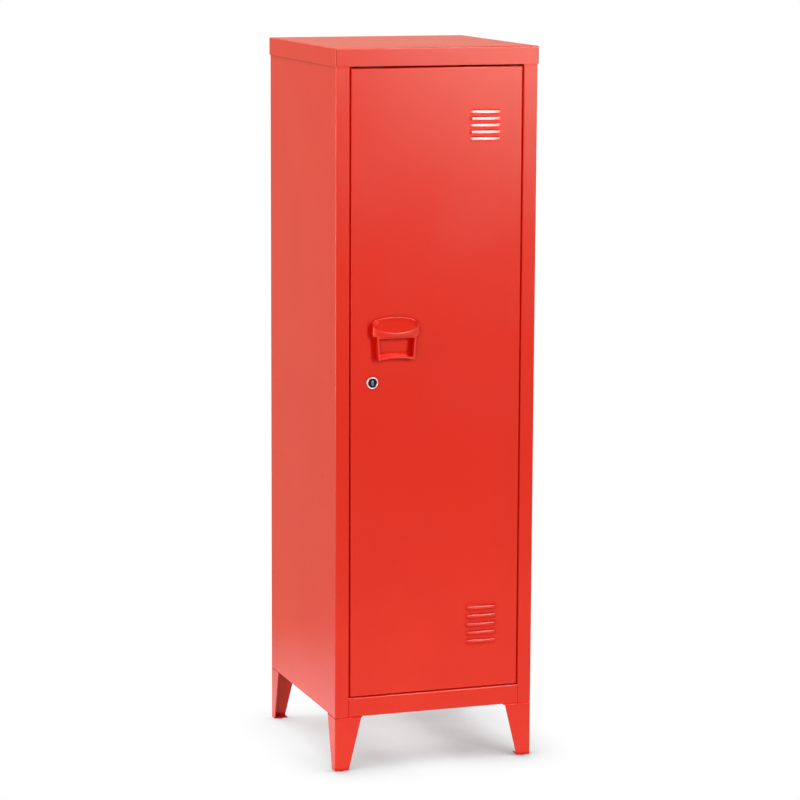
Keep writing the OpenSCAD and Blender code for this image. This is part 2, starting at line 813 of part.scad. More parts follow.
// The door's outer pan: face, folded edges, rear lips, louvres and holes
module door_skin() {
    lip = door_lip_w;
    color(red) difference() {
        union() {
            pan_block([-door_hx, front, door_lo], [door_hx, door_back, door_hi], fold_r);
            for (z = louvre_z) louvre_form(z, false);
        }
        pan_block(
            [-door_hx + sheet_t, front + sheet_t, door_lo + sheet_t],
            [door_hx - sheet_t, door_back - sheet_t, door_hi - sheet_t],
            fold_r - sheet_t
        );
        block(
            [-door_hx + lip, door_back - 2 * sheet_t, door_lo + lip],
            [door_hx - lip, door_back + cut, door_hi - lip]
        );
        for (z = louvre_z) louvre_form(z, true);
        rod_forward([lock_x, front + 2 * sheet_t, lock_z], barrel_r + hole_fit, 3 * sheet_t);
        for (side = [-1, 1]) rod_forward(
            [pull_x + side * boss_x, front + 2 * sheet_t, boss_z], handle_screw_r + hole_fit, 3 * sheet_t
        );
        for (z = [door_lo - cut, door_hi - sheet_t - cut])
            translate([hinge_x, hinge_y, z]) cylinder(r = bushing_r + hole_fit, h = sheet_t + 2 * cut);
    }
}

// A hat-section channel down the back of the door's face
module door_stiffener() {
    web = stiffener_w - 2 * stiffener_flange;
    low = door_lo + stiffener_end;
    high = door_hi - stiffener_end;
    color(red) difference() {
        union() {
            block([-stiffener_w / 2, front + sheet_t, low], [stiffener_w / 2, front + 2 * sheet_t, high]);
            block([-web / 2, front + sheet_t, low], [web / 2, front + sheet_t + stiffener_d, high]);
        }
        block([-web / 2 + sheet_t, front, low - cut], [web / 2 - sheet_t, front + stiffener_d, high + cut]);
    }
}

// A plate that backs a bushing inside the door, its upper face at z
module door_bracket(z) {
    difference() {
        nosed_block(
            [door_hx - sheet_t - seam - bracket_l, front + sheet_t + seam, z - bracket_t],
            [door_hx - sheet_t - seam, door_back - sheet_t - seam, z],
            fold_r - sheet_t
        );
        translate([hinge_x, hinge_y, z - bracket_t - cut])
            cylinder(r = bushing_r + hole_fit, h = bracket_t + 2 * cut);
    }
}

module upper_door_bracket() {
    color(zinc) door_bracket(door_hi - sheet_t);
}

module lower_door_bracket() {
    color(zinc) door_bracket(door_lo + sheet_t + bracket_t);
}

// A flanged bushing with its flange below z = 0 and its barrel above
module bushing() {
    difference() {
        union() {
            translate([0, 0, -bushing_flange_t]) cylinder(r = bushing_flange_r, h = bushing_flange_t);
            cylinder(r = bushing_r, h = bushing_l);
        }
        translate([0, 0, -bushing_flange_t - cut])
            cylinder(r = pin_r + pin_fit, h = bushing_l + bushing_flange_t + 2 * cut);
    }
}

module upper_bushing() {
    color(black) translate([hinge_x, hinge_y, door_hi]) mirror([0, 0, 1]) bushing();
}

module lower_bushing() {
    color(black) translate([hinge_x, hinge_y, door_lo]) bushing();
}

// Rubber pads on the door's rear lip, where it closes on the stop lip
module door_bumpers() {
    x = (-open_hx + stop_lip_w - door_hx) / 2;
    color(black) for (z = [door_lo + bumper_end, (door_lo + door_hi) / 2, door_hi - bumper_end])
        rod_forward([x, door_back + bumper_h, z], bumper_r, bumper_h);
}

module strike_plate() {
    z = door_hi - door_lip_w;
    color(zinc) block(
        [catch_x - strike_w / 2, door_back, z + strike_in],
        [catch_x + strike_w / 2, door_back + strike_t, door_hi - strike_in]
    );
}

// The point after p in its ring of four
function next_corner(p) = p % 4 == 3 ? p - 3 : p + 1;

// The hood as a ruled form between the arc on the door and the lip, drawn in by an inset
module hood_form(inset, behind) {
    a = hood_w / 2 - inset;
    rings = [for (i = [0 : hood_steps]) let(
        angle = 180 * i / hood_steps,
        s = sin(angle),
        x = -a * cos(angle),
        y = -(hood_side - inset + (hood_proud - hood_side) * s),
        tip = pull_z + hood_side_h - hood_tip_in * inset
    ) [
        [x, behind, tip + hood_rise * s], [x, y, tip - hood_drop * s],
        [x, y, pull_z + inset], [x, behind, pull_z + inset]
    ]];
    last = 4 * hood_steps;
    polyhedron(
        points = [for (ring = rings) each ring],
        faces = concat(
            [[0, 1, 2, 3], [last + 3, last + 2, last + 1, last]],
            [for (p = [0 : last - 1]) [p, p + 4, next_corner(p)]],
            [for (p = [0 : last - 1]) [next_corner(p), p + 4, next_corner(p) + 4]]
        )
    );
}

// The finger frame's outline in X and Z, its lower bar arched upward
module frame_outline() {
    top = pull_z + pull_t / 2;
    rim = frame_rim;
    difference() {
        polygon([
            [-frame_foot_w / 2, frame_foot], [frame_foot_w / 2, frame_foot],
            [frame_top_w / 2, top], [-frame_top_w / 2, top]
        ]);
        translate([0, frame_foot + frame_arch - arch_r]) circle(r = arch_r, $fn = 180);
        difference() {
            polygon([
                [-frame_foot_w / 2 + rim, frame_foot], [frame_foot_w / 2 - rim, frame_foot],
                [frame_top_w / 2 - rim, pull_z - rim], [-frame_top_w / 2 + rim, pull_z - rim]
            ]);
            translate([0, frame_foot + frame_arch - arch_r]) circle(r = arch_r + rim, $fn = 180);
        }
    }
}

// The fixed pull: a hood over a finger frame, with two bosses for its screws
module pull_handle() {
    color(red) translate([pull_x, front, 0]) difference() {
        union() {
            difference() {
                hood_form(0, 0);
                hood_form(pull_t, cut);
            }
            intersection() {
                hood_form(0, 0);
                for (side = [-1, 1]) block(
                    [side * boss_x - boss_w / 2, -boss_d, pull_z + pull_t / 2],
                    [side * boss_x + boss_w / 2, 0, pull_z + 2 * hood_side_h]
                );
            }
            rotate([90, 0, 0]) linear_extrude(frame_proud) frame_outline();
        }
        for (side = [-1, 1]) rod_forward([side * boss_x, cut, boss_z], handle_screw_r + pin_fit, boss_d);
    }
}

module handle_screws() {
    head_h = 2.4;
    color(zinc) for (side = [-1, 1]) translate([pull_x + side * boss_x, front + sheet_t, boss_z]) {
        rod_forward([0, head_h, 0], 2 * handle_screw_r, head_h);
        rod_forward([0, 0, 0], handle_screw_r, handle_screw_l);
    }
}

// The lock's chrome ring and threaded barrel
module lock_housing() {
    color(chrome) translate([lock_x, front, lock_z]) difference() {
        union() {
            rod_forward([0, 0, 0], lock_ring_r, ring_t);
            rod_forward([0, lock_barrel_l, 0], barrel_r, lock_barrel_l);
        }
        rod_forward([0, lock_barrel_l + cut, 0], stem_r + pin_fit, lock_barrel_l + ring_t + 2 * cut);
        rod_forward([0, face_t - ring_t, 0], lock_face_r + hole_fit, face_t + cut);
    }
}

module lock_nut() {
    color(zinc) translate([lock_x, front + sheet_t, lock_z]) difference() {
        rotate([-90, 0, 0]) cylinder(r = lock_nut_r, h = lock_nut_h, $fn = 6);
        rod_forward([0, lock_nut_h + cut, 0], barrel_r + hole_fit / 2, lock_nut_h + 2 * cut);
    }
}

// The plug: a round face with a key slot, a stem through the barrel and a square drive for the cam
module lock_plug() {
    stem_back = cam_face - front;
    color(black) translate([lock_x, front, lock_z]) difference() {
        union() {
            rod_forward([0, face_t - ring_t, 0], lock_face_r, face_t - slide_fit);
            rod_forward([0, stem_back, 0], stem_r, stem_back);
            block([-drive_w / 2, 0, -drive_w / 2], [drive_w / 2, stem_back + cam_t, drive_w / 2]);
        }
        block(
            [-key_slot_t / 2, -ring_t - cut, -key_slot_l / 2],
            [key_slot_t / 2, key_slot_d, key_slot_l / 2]
        );
        rod_forward([0, stem_back + cam_t + cut, 0], cam_screw_r + pin_fit, cam_screw_hole + cut);
    }
}

// The cam hangs down when the door is unlocked
module lock_cam() {
    color(zinc) translate([lock_x, 0, lock_z]) difference() {
        union() {
            rod_forward([0, cam_face + cam_t, 0], cam_w / 2, cam_t);
            block([-cam_w / 2, cam_face, -cam_reach], [cam_w / 2, cam_face + cam_t, 0]);
        }
        block(
            [-drive_w / 2 - drive_fit, cam_face - cut, -drive_w / 2 - drive_fit],
            [drive_w / 2 + drive_fit, cam_face + cam_t + cut, drive_w / 2 + drive_fit]
        );
    }
}

module cam_screw() {
    head_h = 2;
    head_r = 5.5;
    cam_back = cam_face + cam_t;
    color(zinc) {
        rod_forward([lock_x, cam_back + head_h, lock_z], head_r, head_h);
        rod_forward([lock_x, cam_back, lock_z], cam_screw_r, cam_screw_l);
    }
}

top_cap();
left_side_panel();
right_side_panel();
back_panel();
bottom_panel();
header_rail();
front_left_leg();
front_right_leg();
rear_left_leg();
rear_right_leg();
foot_glides();
leg_bolts();
leg_nuts();
cap_nuts();
back_rivets();
shelf_tracks();
shelf_clips();
upper_shelf();
middle_shelf();
lower_shelf();
catch_body();
catch_magnet();
catch_screws();
upper_hinge_pin();
lower_hinge_pin();
hinge_washer();
door_skin();
door_stiffener();
upper_door_bracket();
lower_door_bracket();
upper_bushing();
lower_bushing();
door_bumpers();
strike_plate();
pull_handle();
handle_screws();
lock_housing();
lock_nut();
lock_plug();
lock_cam();
cam_screw();
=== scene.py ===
import math

import bmesh
import bpy
from mathutils import Matrix, Vector


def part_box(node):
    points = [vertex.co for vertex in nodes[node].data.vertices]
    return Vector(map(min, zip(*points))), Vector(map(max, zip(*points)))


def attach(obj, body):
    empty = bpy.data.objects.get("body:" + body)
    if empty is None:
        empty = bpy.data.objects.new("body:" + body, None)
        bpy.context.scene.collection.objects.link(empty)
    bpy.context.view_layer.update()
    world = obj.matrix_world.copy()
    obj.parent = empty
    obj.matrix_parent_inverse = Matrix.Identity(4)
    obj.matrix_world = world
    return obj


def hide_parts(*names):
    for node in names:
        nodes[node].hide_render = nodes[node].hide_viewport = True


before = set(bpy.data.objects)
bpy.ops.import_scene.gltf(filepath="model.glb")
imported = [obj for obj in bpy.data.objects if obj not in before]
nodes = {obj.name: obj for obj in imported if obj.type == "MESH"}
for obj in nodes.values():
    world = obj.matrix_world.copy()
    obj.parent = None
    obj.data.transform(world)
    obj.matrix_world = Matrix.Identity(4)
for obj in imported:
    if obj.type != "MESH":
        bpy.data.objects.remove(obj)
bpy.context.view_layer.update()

# The cabinet's sheet metal: two folded sides, the back, the floor pan and the header over the door.
# Mild steel 1 mm thick, folded, spot welded and riveted, then powder coated red all over.
# The coat is a little glossy, with the ripple of baked powder. Its red is changed on folds by a painted
# shade or highlight, near corners by a painted shade, and deep in gaps by a painted light.
MM = 0.001  # in metres; forms are made in millimetres and scaled by it
COAT_RED = (0.745, 0.013, 0.0015)
COAT_SHADE = (0.705, 0.010, 0.0012)
# The darker fold red is a painted shade line along folds. The lighter fold red is partly a thinner coat on
# outer folds and partly a painted highlight.
FOLD_SHADE_RED = (0.56, 0.006, 0.001)
FOLD_THIN_AND_HIGHLIGHT_RED = (0.78, 0.020, 0.004)
# The corner red is a painted shade that deepens the coat near corners and under things. The gap red is a
# painted light that brightens the coat deep in gaps.
CORNER_SHADE_RED = (0.70, 0.0015, 0.0003)
GAP_LIGHT_RED = (0.95, 0.030, 0.004)
COAT_ROUGHNESS = (0.19, 0.26)
COAT_SPECULAR = 0.65
# A painted warm tint in the coat's reflections, standing in for warm light around it
COAT_SPECULAR_TINT = (1.0, 0.90, 0.70, 1.0)
COAT_CLOUDS = 5.0
# Breakup and scale of the painted fold shade or highlight on the coat
COAT_FOLD_BREAKUP, COAT_FOLD_SCALE = 0.25, 30.0
PEEL_SCALE, PEEL_DEPTH = 420.0, 0.00005
WAVE_SCALE = 3.2
# Openness ranges for the painted corner shade and the painted gap light, and the metallic share that deepens
# that painted shade
IN_CORNER, IN_GAP = (0.96, 0.70), (0.55, 0.25)
CORNER_SHADE_METAL = 0.7
BROKEN_EDGE, SHEET_EDGE = 0.3, 0.12
SHARP_FROM, FLAT_WITHIN, JOIN_WITHIN = 35, 0.4, 0.01


def shader_node(tree, kind, inputs=(), **settings):
    """Adds a node, sets it up, and joins or sets its inputs"""
    made = tree.nodes.new(kind)
    for name, value in settings.items():
        setattr(made, name, value)
    for name, value in dict(inputs).items():
        if isinstance(value, bpy.types.NodeSocket):
            tree.links.new(value, made.inputs[name])
        else:
            made.inputs[name].default_value = value
    return made


def effect(name, inputs, output):
    """Starts a shader group with number inputs and one number output; returns its tree, inputs and end"""
    tree = bpy.data.node_groups.new(name, "ShaderNodeTree")
    for label, value in inputs.items():
        socket = tree.interface.new_socket(name=label, in_out="INPUT", socket_type="NodeSocketFloat")
        socket.default_value = value
    tree.interface.new_socket(name=output, in_out="OUTPUT", socket_type="NodeSocketFloat")
    start = tree.nodes.new("NodeGroupInput")
    return tree, start.outputs, tree.nodes.new("NodeGroupOutput").inputs[output]


def place_effect(tree, group, **values):
    """Puts a shader group into a material with its own values"""
    return shader_node(tree, "ShaderNodeGroup", values, node_tree=group).outputs[0]


def noise(tree, scale, detail, roughness=0.5):
    """A noise that stays with the object"""
    where = shader_node(tree, "ShaderNodeTexCoord").outputs["Object"]
    inputs = {"Vector": where, "Scale": scale, "Detail": detail, "Roughness": roughness}
    return shader_node(tree, "ShaderNodeTexNoise", inputs).outputs[0]


def spread(tree, value, low, high, to_low=0.0, to_high=1.0, shape="LINEAR"):
    """Maps a value from one range to another, held at both ends"""
    ends = {0: value, 1: low, 2: high, 3: to_low, 4: to_high}
    return shader_node(tree, "ShaderNodeMapRange", ends, interpolation_type=shape).outputs[0]


def combine(tree, first, second, operation="ADD", **settings):
    """Puts two numbers together"""
    made = shader_node(tree, "ShaderNodeMath", {0: first, 1: second}, operation=operation, **settings)
    return made.outputs[0]


def blend_colours(tree, share, first, second):
    """Mixes two colours by a mask"""
    mix = shader_node(tree, "ShaderNodeMix", {0: share}, data_type="RGBA")
    for socket, colour in ((mix.inputs[6], first), (mix.inputs[7], second)):
        if isinstance(colour, bpy.types.NodeSocket):
            tree.links.new(colour, socket)
        else:
            socket.default_value = (*colour, 1)
    return mix.outputs[2]


# Clouding: soft patches a few centimetres to a few decimetres wide
clouding, given, end = effect("Clouding", {"Scale": 6.0}, "Mask")
patches = noise(clouding, given["Scale"], detail=3.0, roughness=0.55)
clouding.links.new(spread(clouding, patches, 0.2, 0.8, shape="SMOOTHSTEP"), end)

# Orange peel: the ripple of a sprayed or baked coat
orange_peel, given, end = effect("Orange Peel", {"Scale": 260.0}, "Height")
orange_peel.links.new(noise(orange_peel, given["Scale"], detail=2.0, roughness=0.6), end)

# Sheet wave: the slow rise and fall that pressing and baking leave in a flat sheet
sheet_wave, given, end = effect("Sheet Wave", {"Scale": 3.0}, "Height")
sheet_wave.links.new(noise(sheet_wave, given["Scale"], detail=0.0), end)

# Edge wear and shade: a mask that is high along outer edges and folds, broken up by a noise. On zinc it
# marks rubbed edges; on the coat it places the painted fold shade or painted highlight.
edge_wear_and_shade, given, end = effect("Edge Wear And Shade", {"Width": 0.002, "Breakup": 0.3, "Scale": 40.0}, "Mask")
rounded = shader_node(edge_wear_and_shade, "ShaderNodeBevel", {"Radius": given["Width"]}, samples=4).outputs[0]
facing = shader_node(edge_wear_and_shade, "ShaderNodeNewGeometry").outputs["Normal"]
turned = shader_node(edge_wear_and_shade, "ShaderNodeVectorMath", {0: rounded, 1: facing}, operation="DOT_PRODUCT")
edge = spread(edge_wear_and_shade, turned.outputs["Value"], 0.995, 0.90)
chips = spread(edge_wear_and_shade, noise(edge_wear_and_shade, given["Scale"], detail=3.0), 0.35, 0.65)
worn_away = combine(edge_wear_and_shade, chips, given["Breakup"], "MULTIPLY")
edge_wear_and_shade.links.new(combine(edge_wear_and_shade, edge, worn_away, "SUBTRACT", use_clamp=True), end)

# Crevice: how open a place is, from 0 deep in a gap to 1 in the open
crevice, given, end = effect("Crevice", {"Reach": 0.008}, "Openness")
shelter = shader_node(crevice, "ShaderNodeAmbientOcclusion", {"Distance": given["Reach"]}, samples=6)
crevice.links.new(shelter.outputs["AO"], end)


def new_material(name):
    """Makes a material and returns it with its tree and its shader"""
    material = bpy.data.materials.new(name)
    material.use_nodes = True
    tree = material.node_tree
    return material, tree, tree.nodes["Principled BSDF"]


def raise_surface(tree, shader, height, depth):
    """Lets a height, in shares of a depth in metres, turn the shader's normal"""
    bump = shader_node(tree, "ShaderNodeBump", {"Height": height, "Distance": depth, "Strength": 1.0})
    tree.links.new(bump.outputs[0], shader.inputs["Normal"])


def powder_coat(
    name, edge=0.0016, wave=0.0004, reach=0.008, fold=FOLD_SHADE_RED, in_gap=GAP_LIGHT_RED, gap_shade_metal=0.0, dull=0.0
):
    """Red powder coat. In metres, edge is how far its painted fold shade or highlight reaches from a fold,
    wave how far the sheet behind it waves, and reach how far from a corner its painted shade deepens. Fold
    and in_gap are its painted colours there; the gap's metal share is how much of a corner's metallic painted
    shade a gap keeps, and dull is how much rougher it is than elsewhere."""
    material, tree, shader = new_material(name)
    patches = place_effect(tree, clouding, Scale=COAT_CLOUDS)
    # Painted shade or painted highlight along folds, in the fold red
    fold_mark = place_effect(tree, edge_wear_and_shade, Width=edge, Breakup=COAT_FOLD_BREAKUP, Scale=COAT_FOLD_SCALE)
    red = blend_colours(tree, patches, COAT_RED, COAT_SHADE)
    red = blend_colours(tree, fold_mark, red, fold)
    # Painted shade near corners and painted light deep in gaps, set by how open each place is
    openness = place_effect(tree, crevice, Reach=reach)
    corner = spread(tree, openness, *IN_CORNER)
    gap = spread(tree, openness, *IN_GAP)
    red = blend_colours(tree, gap, blend_colours(tree, corner, red, CORNER_SHADE_RED), in_gap)
    tree.links.new(red, shader.inputs["Base Color"])
    # A metallic share where the painted corner shade lies, which darkens it further
    shade_metal = combine(tree, combine(tree, corner, gap, "SUBTRACT"), combine(tree, gap, gap_shade_metal, "MULTIPLY"))
    tree.links.new(combine(tree, shade_metal, CORNER_SHADE_METAL, "MULTIPLY"), shader.inputs["Metallic"])
    smooth = spread(tree, patches, 0, 1, *COAT_ROUGHNESS)
    tree.links.new(combine(tree, smooth, dull), shader.inputs["Roughness"])
    fine = combine(tree, place_effect(tree, orange_peel, Scale=PEEL_SCALE), PEEL_DEPTH, "MULTIPLY")
    slow = combine(tree, place_effect(tree, sheet_wave, Scale=WAVE_SCALE), wave, "MULTIPLY")
    raise_surface(tree, shader, combine(tree, fine, slow), 1.0)
    shader.inputs["Specular IOR Level"].default_value = COAT_SPECULAR
    shader.inputs["Specular Tint"].default_value = COAT_SPECULAR_TINT
    return material


def dress(name, material, edge=BROKEN_EDGE, segments=2):
    """Gives a CAD node its finish, and breaks its sharp edges by a width in millimetres"""
    shown = nodes[name]
    shown.material_slots[0].material = material
    shown.modifiers.new("Join corners", "WELD").merge_threshold = JOIN_WITHIN * MM
    flat = shown.modifiers.new("Join flats", "DECIMATE")
    flat.decimate_type = "DISSOLVE"
    flat.angle_limit = math.radians(FLAT_WITHIN)
    bevel = shown.modifiers.new("Broken edges", "BEVEL")
    bevel.width = edge * MM
    bevel.segments = segments
    bevel.limit_method = "ANGLE"
    bevel.angle_limit = math.radians(SHARP_FROM)
    shown.modifiers.new("Even shading", "WEIGHTED_NORMAL")


coat = powder_coat("Red powder coat")
for name in ("left_side_panel", "right_side_panel", "back_panel", "bottom_panel", "header_rail"):
    dress(name, coat, edge=SHEET_EDGE)

# The seam backers: two strips of the same sheet behind the seams between the floor pan's front and the
# folded sides. They are spot welded there and coated with the cabinet, so that no light comes through.
SHEET_T, BACKER_T = 1.0, 0.9
BACKER_X = (156.4, 170.4)
BACKER_Z = (101.5, 134.0)
BACKER_EDGE = 0.15


def add_object(name, data):
    """Puts a mesh, a lamp or a camera into the scene"""
    made = bpy.data.objects.new(name, data)
    bpy.context.scene.collection.objects.link(made)
    return made


def add_form(name, form, material):
    """Puts a form into the scene as an object of one material"""
    mesh = bpy.data.meshes.new(name)
    form.to_mesh(mesh)
    form.free()
    mesh.materials.append(material)
    return add_object(name, mesh)


def piece(name, form, body, material, slot, *stands_for, crease=SHARP_FROM):
    """Makes a form in millimetres into a piece that rides on a body and stands for CAD nodes"""
    bmesh.ops.remove_doubles(form, verts=form.verts, dist=0.0001)
    bmesh.ops.recalc_face_normals(form, faces=form.faces)
    bmesh.ops.scale(form, vec=(MM, MM, MM), verts=form.verts)
    made = add_form(name, form, material)
    made.data.polygons.foreach_set("use_smooth", [True] * len(made.data.polygons))
    made.data.set_sharp_from_angle(angle=math.radians(crease))
    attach(made, body)
    if stands_for:
        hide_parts(*stands_for)
    return made


def slab(form, sizes, place):
    """Adds a block of three sizes around a place"""
    corners = bmesh.ops.create_cube(form, size=1.0)["verts"]
    bmesh.ops.scale(form, vec=sizes, verts=corners)
    bmesh.ops.translate(form, vec=place, verts=corners)


form = bmesh.new()
front_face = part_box("bottom_panel")[0].y / MM + SHEET_T
for side in (-1, 1):
    sizes = (BACKER_X[1] - BACKER_X[0], BACKER_T, BACKER_Z[1] - BACKER_Z[0])
    slab(form, sizes, (side * sum(BACKER_X) / 2, front_face + BACKER_T / 2, sum(BACKER_Z) / 2))
bmesh.ops.bevel(form, geom=form.edges, offset=BACKER_EDGE, segments=2, affect="EDGES")
piece("seam_backers", form, "cabinet", coat, "red_powder_coat")

# The cap: one sheet folded down on four sides, laid over the body and held by four weld studs.
# Its corners are open seams that are only touched by the coat.
dress("top_cap", coat, edge=SHEET_EDGE)

# The legs: angles of 2 mm steel that taper on both faces, with a plate at each end.
# They are welded up, coated red and bolted under the floor pan.
# Their coat carries the painted fold shade, a little wider on the thicker folds, and the painted corner
# shade.
leg_coat = powder_coat("Red powder coat on the legs", edge=0.0022, wave=0.0001)
for name in ("front_left_leg", "front_right_leg", "rear_left_leg", "rear_right_leg"):
    dress(name, leg_coat, edge=0.5)

# The leg bolts: M6 hexagon bolts, zinc plated, put in from below through the legs' top plates.
# Heads are cold formed with a turned chamfer, and the shanks are threaded all along.
ZINC = (0.60, 0.61, 0.62)
ZINC_WARM = (0.70, 0.67, 0.60)
RUBBED = (0.80, 0.80, 0.80)
BOLT_R, BOLT_PITCH, BOLT_THREAD = 3.0, 1.0, 0.45
BOLT_ACROSS, BOLT_HEAD = 10.0, 4.0
BOLT_DISH, BOLT_WASHER = 0.35, 0.15
CREST = (0.4, 0.6)
DOWN = Matrix.Rotation(math.pi, 4, "X")
REARWARD = Matrix.Rotation(-math.pi / 2, 4, "X")
FORWARD = Matrix.Rotation(math.pi / 2, 4, "X")


def zinc_plate(name, base=ZINC, tint=ZINC_WARM, gloss=0.30):
    """Zinc plate, with the faint warm and cold patches that passivation leaves"""
    material, tree, shader = new_material(name)
    patches = place_effect(tree, clouding, Scale=60.0)
    rubbed = place_effect(tree, edge_wear_and_shade, Width=0.0006, Breakup=0.4, Scale=300.0)
    colour = blend_colours(tree, rubbed, blend_colours(tree, patches, base, tint), RUBBED)
    tree.links.new(colour, shader.inputs["Base Color"])
    tree.links.new(spread(tree, patches, 0, 1, gloss - 0.06, gloss + 0.10), shader.inputs["Roughness"])
    raise_surface(tree, shader, place_effect(tree, orange_peel, Scale=900.0), 0.00002)
    shader.inputs["Metallic"].default_value = 1.0
    return material


def solids_in(name):
    """The lowest and highest corners of each solid in a CAD node, in millimetres"""
    form = bmesh.new()
    form.from_mesh(nodes[name].data)
    bmesh.ops.remove_doubles(form, verts=form.verts, dist=JOIN_WITHIN * MM)
    found = []
    for start in form.verts:
        if start.tag:
            continue
        start.tag = True
        group = [start]
        for vert in group:
            for link in vert.link_edges:
                other = link.other_vert(vert)
                if not other.tag:
                    other.tag = True
                    group.append(other)
        low = Vector([min(vert.co[axis] for vert in group) / MM for axis in range(3)])
        high = Vector([max(vert.co[axis] for vert in group) / MM for axis in range(3)])
        found.append((low, high))
    form.free()
    return sorted(found, key=lambda ends: [round(value) for value in ends[0]])


def turn(form, rows, place, sides=48, across=None, ring=False):
    """Turns rows of (radius, height) about the Z axis of a place, cut to a hexagon of a width across flats"""
    loops = []
    for radius, height in rows:
        loop = []
        for i in range(1 if radius == 0 else sides):
            angle = math.tau * i / sides
            reach = radius
            if across:
                reach = min(radius, across / 2 / math.cos(angle % (math.pi / 3) - math.pi / 6))
            point = Vector((reach * math.cos(angle), reach * math.sin(angle), height))
            loop.append(form.verts.new(place @ point))
        loops.append(loop)
    for first, second in zip(loops, loops[1:] + (loops[:1] if ring else [])):
        for i in range(sides):
            j = (i + 1) % sides
            lower = (first[i % len(first)], first[j % len(first)])
            upper = (second[j % len(second)], second[i % len(second)])
            form.faces.new(list(dict.fromkeys(lower + upper)))


def thread_rows(radius, low, high, pitch, depth):
    """Rows of a screw thread's crests and roots, from low to high"""
    count = max(1, round(abs(high - low) / pitch))
    step = (high - low) / count
    rows = []
    for i in range(count):
        at = low + i * step
        rows += [(radius - depth, at), *[(radius, at + share * step) for share in CREST]]
    return rows + [(radius - depth, high)]


def middle(low, high, height):
    """The point over the middle of a solid, at a height"""
    return Matrix.Translation(((low.x + high.x) / 2, (low.y + high.y) / 2, height))


zinc = zinc_plate("Zinc plate")
corner = BOLT_ACROSS / 2 / math.cos(math.pi / 6)
form = bmesh.new()
for low, high in solids_in("leg_bolts"):
    tall = high.z - low.z
    turn(
        form,
        [
            (0, BOLT_DISH), (3.6, BOLT_DISH), (4.0, 0), (4.7, 0), (5.3, 0.35), (corner, 0.8),
            (corner, BOLT_HEAD - 0.3), (4.9, BOLT_HEAD - BOLT_WASHER), (4.9, BOLT_HEAD), (BOLT_R, BOLT_HEAD),
            *thread_rows(BOLT_R, BOLT_HEAD + 0.5, tall - 0.7, BOLT_PITCH, BOLT_THREAD), (0, tall),
        ],
        middle(low, high, low.z), across=BOLT_ACROSS,
    )
piece("leg_bolt_set", form, "cabinet", zinc, "zinc_plate", "leg_bolts")

# The nuts: M6 on the leg bolts and M5 on the cap's studs, zinc plated and tightened from inside.
# They are hexagonal, chamfered on both faces and tapped, with a wider mouth at each end.
NUT_BORES = {"leg_nuts": 3.0, "cap_nuts": 2.55}
NUT_FACE, NUT_CHAMFER, NUT_MOUTH = 0.86, 0.55, 0.5
NUT_PITCH, NUT_THREAD, NUT_CLEAR = 0.9, 0.25, 0.3
form = bmesh.new()
for name, bore in NUT_BORES.items():
    for low, high in solids_in(name):
        tall = high.z - low.z
        corner = (high.x - low.x) / 2
        turn(
            form,
            [
                (NUT_FACE * corner, 0), (corner, NUT_CHAMFER), (corner, tall - NUT_CHAMFER),
                (NUT_FACE * corner, tall), (bore + NUT_MOUTH, tall),
                *thread_rows(bore + NUT_CLEAR, tall - NUT_MOUTH, NUT_MOUTH, NUT_PITCH, NUT_THREAD),
                (bore + NUT_MOUTH, 0),
            ],
            middle(low, high, low.z), across=2 * corner * math.cos(math.pi / 6), ring=True,
        )
piece("nut_set", form, "cabinet", zinc, "zinc_plate", "leg_nuts", "cap_nuts")

# The glides under the legs: black nylon pads that keep the steel off the floor.
# Each is moulded with a barbed stem that clips into the hole in the foot plate.
GLIDE_R, GLIDE_T = 8.0, 1.5
CLIP_R, CLIP_BARB = 2.5, 3.2


def moulded(name, colour, shade, gloss=0.45):
    """Moulded nylon or rubber with a fine grain"""
    material, tree, shader = new_material(name)
    patches = place_effect(tree, clouding, Scale=40.0)
    tree.links.new(blend_colours(tree, patches, colour, shade), shader.inputs["Base Color"])
    tree.links.new(spread(tree, patches, 0, 1, gloss, gloss + 0.12), shader.inputs["Roughness"])
    raise_surface(tree, shader, place_effect(tree, orange_peel, Scale=1400.0), 0.00004)
    return material


black_nylon = moulded("Black nylon", (0.022, 0.022, 0.024), (0.032, 0.032, 0.034))
form = bmesh.new()
for low, high in solids_in("foot_glides"):
    turn(
        form,
        [
            (0, 0), (7.0, 0), (7.7, 0.15), (GLIDE_R, 0.5), (GLIDE_R, 1.1), (7.7, GLIDE_T), (CLIP_R, GLIDE_T),
            (CLIP_R, 3.5), (CLIP_BARB, 3.7), (3.1, 4.1), (2.3, 5.3), (1.2, 5.5), (1.0, 4.2), (0, 4.0),
        ],
        middle(low, high, low.z),
    )
piece("glide_set", form, "cabinet", black_nylon, "black_nylon", "foot_glides")

# The rivets in the back: blind rivets of 4 mm in zinc-plated steel, set from behind.
# Each has a domed head, the broken mandrel sunk in it, and a bulb swelled behind the sheets.
RIVET_R, RIVET_HEAD_R, RIVET_HEAD_H = 2.0, 4.0, 1.1
MANDREL_R, BULB_R = 1.1, 3.1


def facing_back(low, high, depth):
    """A line to the rear through the middle of a solid, from a depth"""
    return Matrix.Translation(((low.x + high.x) / 2, depth, (low.z + high.z) / 2)) @ REARWARD


